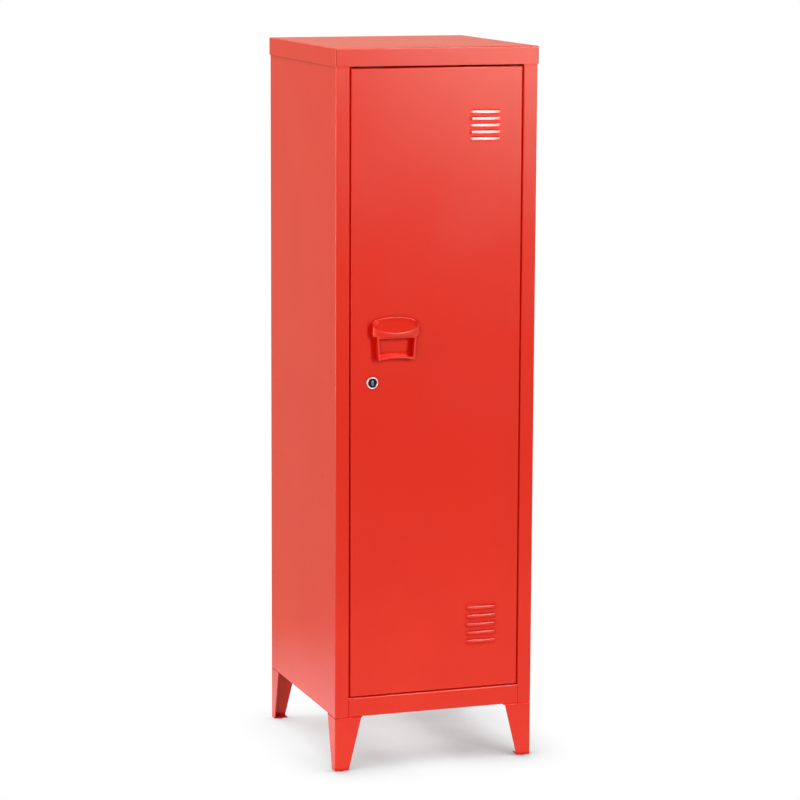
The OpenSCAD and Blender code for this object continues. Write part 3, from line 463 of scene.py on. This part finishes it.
form = bmesh.new()
for low, high in solids_in("back_rivets"):
    face = high.y - low.y - RIVET_HEAD_H
    turn(
        form,
        [
            (0, 0.25), (MANDREL_R, 0.25), (1.3, 0), (2.4, 0.25), (3.0, 0.8), (BULB_R, 1.4), (2.7, 2.0),
            (RIVET_R, 2.0), (RIVET_R, face), (3.8, face), (RIVET_HEAD_R, face + 0.18), (3.7, face + 0.45),
            (3.0, face + 0.78), (2.0, face + 1.02), (1.35, face + 1.08), (1.15, face + 0.95),
            (1.15, face + 0.3), (0.9, face + 0.25), (0.5, face + 0.42), (0, face + 0.45),
        ],
        facing_back(low, high, low.y), sides=32,
    )
piece("rivet_set", form, "cabinet", zinc, "zinc_plate", "back_rivets")

# The tracks, clips and shelves: slotted channels spot welded to the sides, sprung clips of zinc-plated
# steel that hook into the slots, and three shelves folded down on all four sides and coated red.
for name in ("shelf_tracks", "upper_shelf", "middle_shelf", "lower_shelf"):
    dress(name, coat)
dress("shelf_clips", zinc, edge=0.4)

# The spot welds on the sides: shallow dimples in the steel where an electrode pressed the side and
# a track together. The red coat went over them.
WELD_R, WELD_DEEP = 2.6, 0.2
WELD_PITCH = 90.0
TRACK_WELD_START = 20


def spot_weld(form, place):
    """One shallow round dimple with a raised rim, its axis along the Z axis of a place"""
    turn(
        form,
        [
            (0, 0.05), (1.7, 0.05), (2.1, 0.16), (2.4, 0.16), (WELD_R, 0.02), (WELD_R - 0.2, -WELD_DEEP),
            (0, -WELD_DEEP),
        ],
        place, sides=24,
    )


def along(low, high, pitch):
    """Even steps from low to high, about a pitch apart"""
    count = max(1, round((high - low) / pitch))
    return [low + (high - low) * i / count for i in range(count + 1)]


form = bmesh.new()
for low, high in solids_in("shelf_tracks"):
    side = 1 if low.x > 0 else -1
    outer = max(abs(low.x), abs(high.x)) + SHEET_T
    for height in along(low.z + TRACK_WELD_START, high.z - TRACK_WELD_START, 2 * WELD_PITCH):
        place = Matrix.Translation((side * outer, (low.y + high.y) / 2, height))
        spot_weld(form, place @ Matrix.Rotation(side * math.pi / 2, 4, "Y"))
piece("side_weld_spots", form, "cabinet", coat, "red_powder_coat")

# The magnetic catch under the header: a moulded black nylon housing with a nickel-plated magnet in it.
# Two zinc-plated pan-head screws go up through it into the header.
CATCH_EDGE = 0.8
CATCH_SCREW_R, CATCH_HEAD_R, CATCH_HEAD_H = 1.75, 3.5, 2.0
SCREW_PITCH, SCREW_THREAD = 0.7, 0.25
HEAD_SIDES, HEAD_FLAT = 32, 0.72
CROSS_ARM, CROSS_HALF, CROSS_DEEP, CROSS_TAPER = 0.93, 0.13, 0.55, 0.8
dress("catch_body", black_nylon, edge=CATCH_EDGE, segments=3)
magnet_steel = zinc_plate("Nickel plate", base=(0.42, 0.42, 0.43), tint=(0.50, 0.48, 0.44), gloss=0.25)
dress("catch_magnet", magnet_steel)


def cross_head(form, place, radius, tall, top):
    """A domed screw head with a cross recess; it starts on the place's Z = 0 and rises to its top"""
    dome = [(radius, 0), (radius, 0.45 * tall), (0.93 * radius, 0.75 * tall), (top, tall)]
    turn(form, dome, place, sides=HEAD_SIDES)
    arm, half = CROSS_ARM * top, CROSS_HALF * radius
    cross = [
        (arm, -half), (arm, half), (half, half), (half, arm), (-half, arm), (-half, half),
        (-arm, half), (-arm, -half), (-half, -half), (-half, -arm), (half, -arm), (half, -half),
    ]
    angles = [math.tau * i / HEAD_SIDES for i in range(HEAD_SIDES)]
    circle = [(math.cos(angle), math.sin(angle)) for angle in angles]

    def level(points, share, height):
        """Corners on one level of the head"""
        return [form.verts.new(place @ Vector((share * x, share * y, height))) for x, y in points]

    rim = level(cross, 1, tall)
    floor = level(cross, CROSS_TAPER, tall - CROSS_DEEP * tall)
    outer = level(circle, top, tall)
    edges = [form.edges.new((ring[i - 1], ring[i])) for ring in (rim, outer) for i in range(len(ring))]
    bmesh.ops.triangle_fill(form, edges=edges, use_beauty=True)
    form.faces.new(floor)
    for i in range(len(cross)):
        form.faces.new((rim[i - 1], rim[i], floor[i], floor[i - 1]))


def machine_screw(form, place, head_r, head_h, shank_r, length):
    """A pan-head screw whose head rises from the place's Z = 0 and whose shank goes down from it"""
    cross_head(form, place, head_r, head_h, HEAD_FLAT * head_r)
    thread = thread_rows(shank_r, -0.4, -(length - 0.5), SCREW_PITCH, SCREW_THREAD)
    turn(form, [(head_r, 0), (shank_r, 0), *thread, (0, -length)], place, sides=HEAD_SIDES)


form = bmesh.new()
for low, high in solids_in("catch_screws"):
    place = middle(low, high, low.z + CATCH_HEAD_H) @ DOWN
    machine_screw(form, place, CATCH_HEAD_R, CATCH_HEAD_H, CATCH_SCREW_R, high.z - low.z - CATCH_HEAD_H)
piece("catch_screw_set", form, "cabinet", zinc, "zinc_plate", "catch_screws")

# The hinge: two steel pins in the cabinet, a washer, and bushings held by brackets in the door.
# The pins are turned, blackened in oil and welded in, and the nylon parts are moulded black.
PIN_R, PIN_HEAD_R, PIN_HEAD_H = 3.0, 5.5, 3.0


def ends_of(name):
    """The lowest and highest corners of a CAD node, in millimetres"""
    low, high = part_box(name)
    return low / MM, high / MM


form = bmesh.new()
for name in ("upper_hinge_pin", "lower_hinge_pin"):
    low, high = ends_of(name)
    tall = high.z - low.z
    neck = tall - PIN_HEAD_H
    place = middle(low, high, low.z) if name == "upper_hinge_pin" else middle(low, high, high.z) @ DOWN
    turn(
        form,
        [
            (0, 0), (2.0, 0), (2.7, 0.35), (PIN_R, 1.0), (PIN_R, neck), (5.2, neck), (PIN_HEAD_R, neck + 0.4),
            (PIN_HEAD_R, tall - 0.6), (4.9, tall), (0, tall),
        ],
        place,
    )
black_oxide = zinc_plate("Black oxide", base=(0.030, 0.030, 0.033), tint=(0.045, 0.042, 0.038), gloss=0.38)
piece("hinge_pins", form, "cabinet", black_oxide, "black_oxide", "upper_hinge_pin", "lower_hinge_pin")
for name in ("hinge_washer", "upper_bushing", "lower_bushing"):
    dress(name, black_nylon, edge=0.2)
for name in ("upper_door_bracket", "lower_door_bracket"):
    dress(name, zinc)

# The door: a pan folded on four sides with lips turned in behind, punched with two groups of louvres.
# A hat channel spot welded down its back keeps it from drumming, and both are coated red.
DOOR_WELD_START, FLANGE_MIDDLE = 25, 5
# Its folds have the lighter fold red, partly a thinner coat and partly a painted highlight, and its painted
# corner shade reaches a little further, under the louvres.
door_coat = powder_coat("Red powder coat on the door", reach=0.010, fold=FOLD_THIN_AND_HIGHLIGHT_RED)
dress("door_skin", door_coat)
dress("door_stiffener", coat)
form = bmesh.new()
low, high = ends_of("door_stiffener")
for side in (-1, 1):
    for height in along(low.z + DOOR_WELD_START, high.z - DOOR_WELD_START, WELD_PITCH):
        place = Matrix.Translation((side * (high.x - FLANGE_MIDDLE), low.y + SHEET_T, height))
        spot_weld(form, place @ REARWARD)
piece("door_weld_spots", form, "door", coat, "red_powder_coat")

# The bumpers on the door's rear lip: three black rubber domes that stop its rattle.
# Each is moulded on a flat base and stuck to the lip.
BUMPER_DOME = ((1, 0), (1, 0.35), (0.93, 0.65), (0.74, 0.87), (0.42, 0.98))
black_rubber = moulded("Black rubber", (0.018, 0.018, 0.018), (0.030, 0.029, 0.028), gloss=0.7)
form = bmesh.new()
for low, high in solids_in("door_bumpers"):
    deep = high.y - low.y
    radius = (high.x - low.x) / 2
    dome = [(across_it * radius, along_it * deep) for across_it, along_it in BUMPER_DOME]
    turn(form, [(0, 0), *dome, (0, deep)], facing_back(low, high, low.y), sides=32)
piece("bumper_set", form, "door", black_rubber, "black_rubber", "door_bumpers")

# The strike plate: a strip of zinc-plated steel, spot welded to the door's lip.
# The catch's magnet meets it when the door is shut.
dress("strike_plate", zinc)

# The pull: a hood over a finger frame, cast in one piece, coated red and screwed on from inside.
# Its edges are round and its corners are filled, as a casting's are, and a round bead runs along the
# hood's lip, along the arc where the hood meets the door, and round the finger frame.
PULL_W, PULL_FOOT_Z = 87.0, 792.5
LIP_SIDE_PROUD, LIP_PROUD = 13.0, 21.0
LIP_SIDE_Z, LIP_DROP, LIP_SINK, ARC_RISE = 20.5, 14.0, 0.4, 12.0
LIP_R, ARC_R, RAIL_R = 1.9, 0.9, 1.9
FRAME_TOP, FRAME_FOOT, FRAME_H, FRAME_PROUD, FRAME_ARCH = 74.0, 68.0, 43.0, 18.0, 3.5
BEAD_STEPS = 40
PULL_GRAIN, PULL_SOFTENING = 0.5, 9
# Its coat has the lighter fold red, partly a thinner coat and partly a painted highlight. Its painted corner
# shade reaches round the hood and frame, and deep in gaps it stays a metallic painted shade.
pull_coat = powder_coat(
    "Red powder coat on the pull", edge=0.0009, wave=0.0, reach=0.018, fold=FOLD_THIN_AND_HIGHLIGHT_RED, in_gap=CORNER_SHADE_RED,
    gap_shade_metal=1.0, dull=0.10,
)
form = bmesh.new()
form.from_mesh(nodes["pull_handle"].data)
bmesh.ops.scale(form, vec=(1 / MM, 1 / MM, 1 / MM), verts=form.verts)
bmesh.ops.remove_doubles(form, verts=form.verts, dist=JOIN_WITHIN)
low, high = ends_of("pull_handle")
pull_x = (low.x + high.x) / 2


def bead(form, path, radius):
    """A round bar along a path, made of short rods with a ball at every point"""
    for point in path:
        bmesh.ops.create_icosphere(form, subdivisions=2, radius=radius, matrix=Matrix.Translation(point))
    for first, second in zip(path, path[1:]):
        turned = (second - first).to_track_quat("Z", "Y").to_matrix().to_4x4()
        bmesh.ops.create_cone(
            form, cap_ends=True, segments=16, radius1=radius, radius2=radius, depth=(second - first).length,
            matrix=Matrix.Translation((first + second) / 2) @ turned,
        )


lip, arc = [], []
side_z = PULL_FOOT_Z + LIP_SIDE_Z
for i in range(BEAD_STEPS + 1):
    swing = math.sin(math.pi * i / BEAD_STEPS)
    side = math.cos(math.pi * i / BEAD_STEPS)
    proud = LIP_SIDE_PROUD + (LIP_PROUD - LIP_SIDE_PROUD) * swing
    lip_z = side_z - LIP_DROP * swing - LIP_SINK * LIP_R
    lip.append(Vector((pull_x - (PULL_W / 2 - LIP_R) * side, high.y - proud + LIP_R, lip_z)))
    arc.append(Vector((pull_x - (PULL_W / 2 - ARC_R) * side, high.y - ARC_R, side_z + ARC_RISE * swing)))
bead(form, lip, LIP_R)
bead(form, arc, ARC_R)

# The frame's foot is a shallow arch, and its sides run up to the hood
arch_r = ((FRAME_FOOT / 2) ** 2 + FRAME_ARCH ** 2) / (2 * FRAME_ARCH)
arch_z = PULL_FOOT_Z - FRAME_H + FRAME_ARCH - arch_r
rail_y = high.y - FRAME_PROUD + RAIL_R
rail = [Vector((pull_x - FRAME_TOP / 2 + RAIL_R, rail_y, PULL_FOOT_Z - RAIL_R))]
for i in range(BEAD_STEPS // 2 + 1):
    x = (FRAME_FOOT / 2 - RAIL_R) * (4 * i / BEAD_STEPS - 1)
    rail.append(Vector((pull_x + x, rail_y, arch_z + math.sqrt((arch_r + RAIL_R) ** 2 - x * x))))
rail.append(Vector((pull_x + FRAME_TOP / 2 - RAIL_R, rail_y, PULL_FOOT_Z - RAIL_R)))
bead(form, [*rail, rail[0]], RAIL_R)
pull = piece("pull", form, "door", pull_coat, "red_powder_coat", "pull_handle", crease=180)
filled = pull.modifiers.new("One casting", "REMESH")
filled.mode = "VOXEL"
filled.voxel_size = PULL_GRAIN * MM
filled.use_smooth_shade = True
softened = pull.modifiers.new("Round edges", "SMOOTH")
softened.factor = 0.5
softened.iterations = PULL_SOFTENING

# The pull's screws: two zinc-plated M4 pan heads inside the door.
# They are screwed forward through the door into the pull's two bosses.
PULL_SCREW_R, PULL_SCREW_HEAD = 2.0, 2.4
form = bmesh.new()
for low, high in solids_in("handle_screws"):
    place = facing_back(low, high, high.y - PULL_SCREW_HEAD)
    length = high.y - low.y - PULL_SCREW_HEAD
    machine_screw(form, place, (high.x - low.x) / 2, PULL_SCREW_HEAD, PULL_SCREW_R, length)
piece("pull_screws", form, "door", zinc, "zinc_plate", "handle_screws")

# The lock's ring and nut: a chrome-plated ring, turned in one piece with its threaded barrel, and the
# zinc-plated hexagon nut that holds it from behind the door.
RING_R, RING_T = 11.0, 2.2
BARREL_R, STEM_R, PLUG_HOLE_R = 9.0, 6.0, 8.35
LOCK_NUT_CORNER, LOCK_NUT_T, LOCK_NUT_BORE = 13.0, 4.0, 9.3
LOCK_PITCH = 1.0


def plated(name, colour, metallic, gloss, specular=0.5):
    """Smooth plate or enamel with faint rubbing marks"""
    material, tree, shader = new_material(name)
    patches = place_effect(tree, clouding, Scale=150.0)
    darker = tuple(0.88 * value for value in colour)
    tree.links.new(blend_colours(tree, patches, colour, darker), shader.inputs["Base Color"])
    tree.links.new(spread(tree, patches, 0, 1, gloss, gloss + 0.07), shader.inputs["Roughness"])
    raise_surface(tree, shader, place_effect(tree, orange_peel, Scale=900.0), 0.000008)
    shader.inputs["Metallic"].default_value = metallic
    shader.inputs["Specular IOR Level"].default_value = specular
    return material


# The chrome's faint pink is a painted reflection of the red door round it.
chrome = plated("Chrome plate", (0.88, 0.81, 0.80), 1.0, 0.22)
low, high = ends_of("lock_housing")
lock_axis = Vector(((low.x + high.x) / 2, low.y + RING_T, (low.z + high.z) / 2))
barrel_end = high.y - lock_axis.y
form = bmesh.new()
turn(
    form,
    [
        (STEM_R, -barrel_end), (BARREL_R - 0.6, -barrel_end),
        *thread_rows(BARREL_R, -barrel_end + 0.6, -1.2, LOCK_PITCH, 0.4), (BARREL_R, 0), (RING_R - 0.15, 0),
        (RING_R, 0.25), (RING_R - 0.12, 0.85), (RING_R - 0.5, 1.45), (RING_R - 1.1, 1.95),
        (RING_R - 1.7, RING_T), (RING_R - 2.1, RING_T - 0.04), (RING_R - 2.5, RING_T - 0.35),
        (PLUG_HOLE_R, 1.3), (PLUG_HOLE_R, -0.3), (STEM_R, -0.3),
    ],
    Matrix.Translation(lock_axis) @ FORWARD, sides=72, ring=True,
)
piece("lock_ring", form, "door", chrome, "lock_chrome", "lock_housing")

low, high = ends_of("lock_nut")
form = bmesh.new()
turn(
    form,
    [
        (11.6, 0), (LOCK_NUT_CORNER, 0.6), (LOCK_NUT_CORNER, LOCK_NUT_T - 0.6), (11.6, LOCK_NUT_T),
        (LOCK_NUT_BORE + 0.3, LOCK_NUT_T),
        *thread_rows(LOCK_NUT_BORE, LOCK_NUT_T - 0.5, 0.5, LOCK_PITCH, 0.3), (LOCK_NUT_BORE + 0.3, 0),
    ],
    Matrix.Translation((lock_axis.x, low.y, lock_axis.z)) @ REARWARD, sides=60,
    across=2 * LOCK_NUT_CORNER * math.cos(math.pi / 6), ring=True,
)
piece("lock_ring_nut", form, "door", zinc, "zinc_plate", "lock_nut")

# The lock's plug: enamelled black and turned by the key, with five brass-coloured wafers in the key slot.
# A thin nickel-plated guide is pressed into the mouth of the slot.
SLOT_W, SLOT_H = 1.4, 9.0
WAFERS, WAFER_T, WAFER_H, WAFER_PITCH = 5, 0.7, 2.1, 1.35
WAFER_START, WAFER_OUT, WAFER_LEAN, WAFER_EDGE = 0.2, 3.1, 0.35, 0.12
GUIDE_W, GUIDE_H, GUIDE_PROUD, GUIDE_SINK = 3.4, 10.0, 0.3, 0.3
GUIDE_SIDES, GUIDE_ROUNDING = 32, 0.6
plug_black = plated("Black enamel", (0.008, 0.008, 0.018), 0.0, 0.30, specular=0.15)
dress("lock_plug", plug_black, edge=0.35, segments=3)
form = bmesh.new()
for i in range(WAFERS):
    way = (-1) ** i
    out = (WAFER_OUT + WAFER_LEAN * way) * way
    slab(form, (SLOT_W - 0.1, WAFER_T, WAFER_H), lock_axis + Vector((0, WAFER_PITCH * i - WAFER_START, out)))
bmesh.ops.bevel(form, geom=form.edges, offset=WAFER_EDGE, segments=2, affect="EDGES")
wafer_metal = plated("Wafer metal", (0.62, 0.50, 0.28), 1.0, 0.3)
piece("lock_wafers", form, "lock", wafer_metal, "zinc_plate")

plug_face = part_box("lock_plug")[0].y / MM
form = bmesh.new()
loops = []
for width, tall, proud in (
    (GUIDE_W, GUIDE_H, -GUIDE_SINK), (GUIDE_W, GUIDE_H, 0.1), (GUIDE_W - 0.4, GUIDE_H - 0.4, GUIDE_PROUD),
    (SLOT_W + 0.3, SLOT_H + 0.3, GUIDE_PROUD), (SLOT_W - 0.1, SLOT_H - 0.1, 0),
    (SLOT_W - 0.1, SLOT_H - 0.1, -GUIDE_SINK),
):
    loops.append([])
    for i in range(GUIDE_SIDES):
        across_it, up_it = math.cos(math.tau * i / GUIDE_SIDES), math.sin(math.tau * i / GUIDE_SIDES)
        x = math.copysign(abs(across_it) ** GUIDE_ROUNDING, across_it) * width / 2
        z = math.copysign(abs(up_it) ** GUIDE_ROUNDING, up_it) * tall / 2
        loops[-1].append(form.verts.new((lock_axis.x + x, plug_face - proud, lock_axis.z + z)))
for first, second in zip(loops, loops[1:] + loops[:1]):
    for i in range(GUIDE_SIDES):
        form.faces.new((first[i - 1], first[i], second[i], second[i - 1]))
nickel = plated("Nickel plate", (0.36, 0.36, 0.42), 1.0, 0.38)
piece("lock_key_guide", form, "lock", nickel, "zinc_plate")

# The cam: a zinc-plated steel finger on the plug's square end, which goes behind the cabinet's stop lip.
# A pan-head screw holds it and turns with it.
CAM_SCREW_R, CAM_HEAD_R, CAM_HEAD_H = 2.0, 5.5, 2.0
dress("lock_cam", zinc, edge=0.35)
low, high = ends_of("cam_screw")
form = bmesh.new()
place = Matrix.Translation((lock_axis.x, high.y - CAM_HEAD_H, lock_axis.z)) @ REARWARD
machine_screw(form, place, CAM_HEAD_R, CAM_HEAD_H, CAM_SCREW_R, high.y - low.y - CAM_HEAD_H)
piece("cam_fixing", form, "lock", zinc, "zinc_plate", "cam_screw")

# The floor: a pale sheet that fades out into white a metre away. It is lifted to white in the open, and a
# painted shadow greys it where the body shelters it, less at the rear left than at the front right.
FLOOR_REACH = 6.0
FLOOR_COLOUR = (0.80, 0.82, 0.83, 1)
FLOOR_FADE = (0.4, 1.0)
SHELTER_REACH, FLOOR_SHELTER = 0.16, (0.50, 0.90)
FLOOR_LIFT = (0.70, 1.0)
FLOOR_SHADE, FLOOR_SHADE_REACH = (0.47, 0.84), (-0.12, 0.30)


def seen_straight(tree):
    """1 for rays from the camera, a mirror or through glass, and 0 for the light that falls on things"""
    path = shader_node(tree, "ShaderNodeLightPath").outputs
    seen = combine(tree, path["Is Camera Ray"], path["Is Glossy Ray"], "MAXIMUM")
    return combine(tree, seen, path["Is Transmission Ray"], "MAXIMUM")


material, tree, shader = new_material("Pale floor")
shader.inputs["Base Color"].default_value = FLOOR_COLOUR
shader.inputs["Roughness"].default_value = 0.9
shader.inputs["Specular IOR Level"].default_value = 0.1
where = shader_node(tree, "ShaderNodeTexCoord").outputs["Object"]
place = shader_node(tree, "ShaderNodeSeparateXYZ", {0: where}).outputs
rear_left = combine(tree, place["Y"], place["X"], "SUBTRACT")
# The painted shadow's grey, lighter towards the rear left
shade = spread(tree, rear_left, *FLOOR_SHADE_REACH, *FLOOR_SHADE)
shelter = shader_node(tree, "ShaderNodeAmbientOcclusion", {"Distance": SHELTER_REACH}, samples=16)
shelter = spread(tree, shelter.outputs["AO"], *FLOOR_SHELTER)
white = shader_node(tree, "ShaderNodeEmission", {"Strength": spread(tree, shelter, 0, 1, shade, 1.0)})
share = combine(tree, seen_straight(tree), spread(tree, shelter, 0, 1, *FLOOR_LIFT), "MULTIPLY")
lift = shader_node(tree, "ShaderNodeMixShader", {0: share, 1: shader.outputs[0], 2: white.outputs[0]})
far = shader_node(tree, "ShaderNodeVectorMath", {0: where}, operation="LENGTH").outputs["Value"]
clear = shader_node(tree, "ShaderNodeBsdfTransparent").outputs[0]
faded = spread(tree, far, *FLOOR_FADE)
fade = shader_node(tree, "ShaderNodeMixShader", {0: faded, 1: lift.outputs[0], 2: clear})
tree.links.new(fade.outputs[0], tree.nodes["Material Output"].inputs["Surface"])
form = bmesh.new()
bmesh.ops.create_grid(form, x_segments=1, y_segments=1, size=FLOOR_REACH)
add_form("floor", form, material)

# The room: an even white sky that gives little light, and three grey sheets, a wall behind the locker,
# one far in front and a ceiling. Only the coat's gloss shows the sheets.
SKY_LIGHT = 0.28
PANELS = {
    "rear_wall": (
        (1.0, 0.93, 0.74), 0.48, ((-2.6, 2.4, -2.2), (1.8, 2.4, -2.2), (1.8, 2.4, 2.2), (-2.6, 2.4, 2.2))
    ),
    "front_wall": ((1.0, 0.98, 0.95), 0.33, ((-4, -8, -1.5), (8, -8, -1.5), (8, -8, 5), (-4, -8, 5))),
    "ceiling": ((1.0, 0.98, 0.95), 0.28, ((-4, -7, 4.6), (4, -7, 4.6), (4, 2.4, 4.6), (-4, 2.4, 4.6))),
}
world = bpy.data.worlds.new("Studio")
bpy.context.scene.world = world
world.use_nodes = True
tree = world.node_tree
sky = tree.nodes["Background"]
sky.inputs["Color"].default_value = (1, 1, 1, 1)
tree.links.new(spread(tree, seen_straight(tree), 0, 1, SKY_LIGHT, 1.0), sky.inputs["Strength"])
for name, (colour, strength, corners) in PANELS.items():
    material, tree, shader = new_material(f"Grey {name}")
    grey = shader_node(tree, "ShaderNodeEmission", {"Color": (*colour, 1)})
    tree.links.new(spread(tree, seen_straight(tree), 0, 1, SKY_LIGHT, strength), grey.inputs["Strength"])
    tree.links.new(grey.outputs[0], tree.nodes["Material Output"].inputs["Surface"])
    form = bmesh.new()
    form.faces.new([form.verts.new(corner) for corner in corners])
    panel = add_form(name, form, material)
    panel.visible_camera = False
    panel.visible_shadow = False

# The lamps: large soft boxes, as a studio has. The window and the glow under it stand at the front right
# and show in the louvres, and the rest light the door, the left side and the cap.
MIDDLE = (0, 0, 0.7)
DOOR_TOP = (0.1, -0.2, 1.0)


def soft_lamp(name, place, towards, size, power, colour=(1, 1, 1)):
    """A large rectangular lamp"""
    light = bpy.data.lights.new(name, "AREA")
    light.shape = "RECTANGLE"
    light.size, light.size_y = size
    light.energy = power
    light.color = colour
    lamp = add_object(name, light)
    lamp.location = place
    lamp.rotation_mode = "QUATERNION"
    lamp.rotation_quaternion = (Vector(place) - Vector(towards)).to_track_quat("Z", "Y")


soft_lamp("window", (2.1, -5.2, 2.4), DOOR_TOP, (0.8, 1.3), 164, colour=(1, 1, 1.2))
soft_lamp("glow", (2.4, -5.2, 1.15), DOOR_TOP, (1.2, 0.9), 15)
soft_lamp("front_left", (-3.4, -4.4, 2.0), MIDDLE, (2.6, 2.6), 84)
soft_lamp("left", (-3.6, 0.0, 1.05), MIDDLE, (2.4, 2.0), 76)
soft_lamp("left_high", (-1.6, -0.7, 3.1), MIDDLE, (0.9, 0.9), 6)
soft_lamp("above", (-0.2, 0.4, 3.4), MIDDLE, (1.6, 1.6), 55)

# The camera: a long lens at the front left, a little above the locker and looking slightly down.
# Its place and turn come from corners of the body that the photograph shows.
CAMERA_PLACE = Vector((-1.8531, -5.3541, 1.5854))
CAMERA_TURN, CAMERA_DIP, CAMERA_ROLL = math.radians(19.068), math.radians(9.456), math.radians(0.266)
CAMERA_LENS, CAMERA_SENSOR, CAMERA_FAR = 139.96, 36, 60
ahead = Vector((
    math.sin(CAMERA_TURN) * math.cos(CAMERA_DIP),
    math.cos(CAMERA_TURN) * math.cos(CAMERA_DIP),
    -math.sin(CAMERA_DIP),
))
level = Vector((math.cos(CAMERA_TURN), -math.sin(CAMERA_TURN), 0))
across = level * math.cos(CAMERA_ROLL) + level.cross(ahead) * math.sin(CAMERA_ROLL)
axes = Matrix((across, across.cross(ahead), -ahead)).transposed().to_4x4()
camera = add_object("camera", bpy.data.cameras.new("camera"))
camera.data.lens = CAMERA_LENS
camera.data.sensor_width = CAMERA_SENSOR
camera.data.clip_end = CAMERA_FAR
camera.matrix_world = Matrix.Translation(CAMERA_PLACE) @ axes
bpy.context.scene.camera = camera
bpy.context.scene.view_settings.view_transform = "Standard"
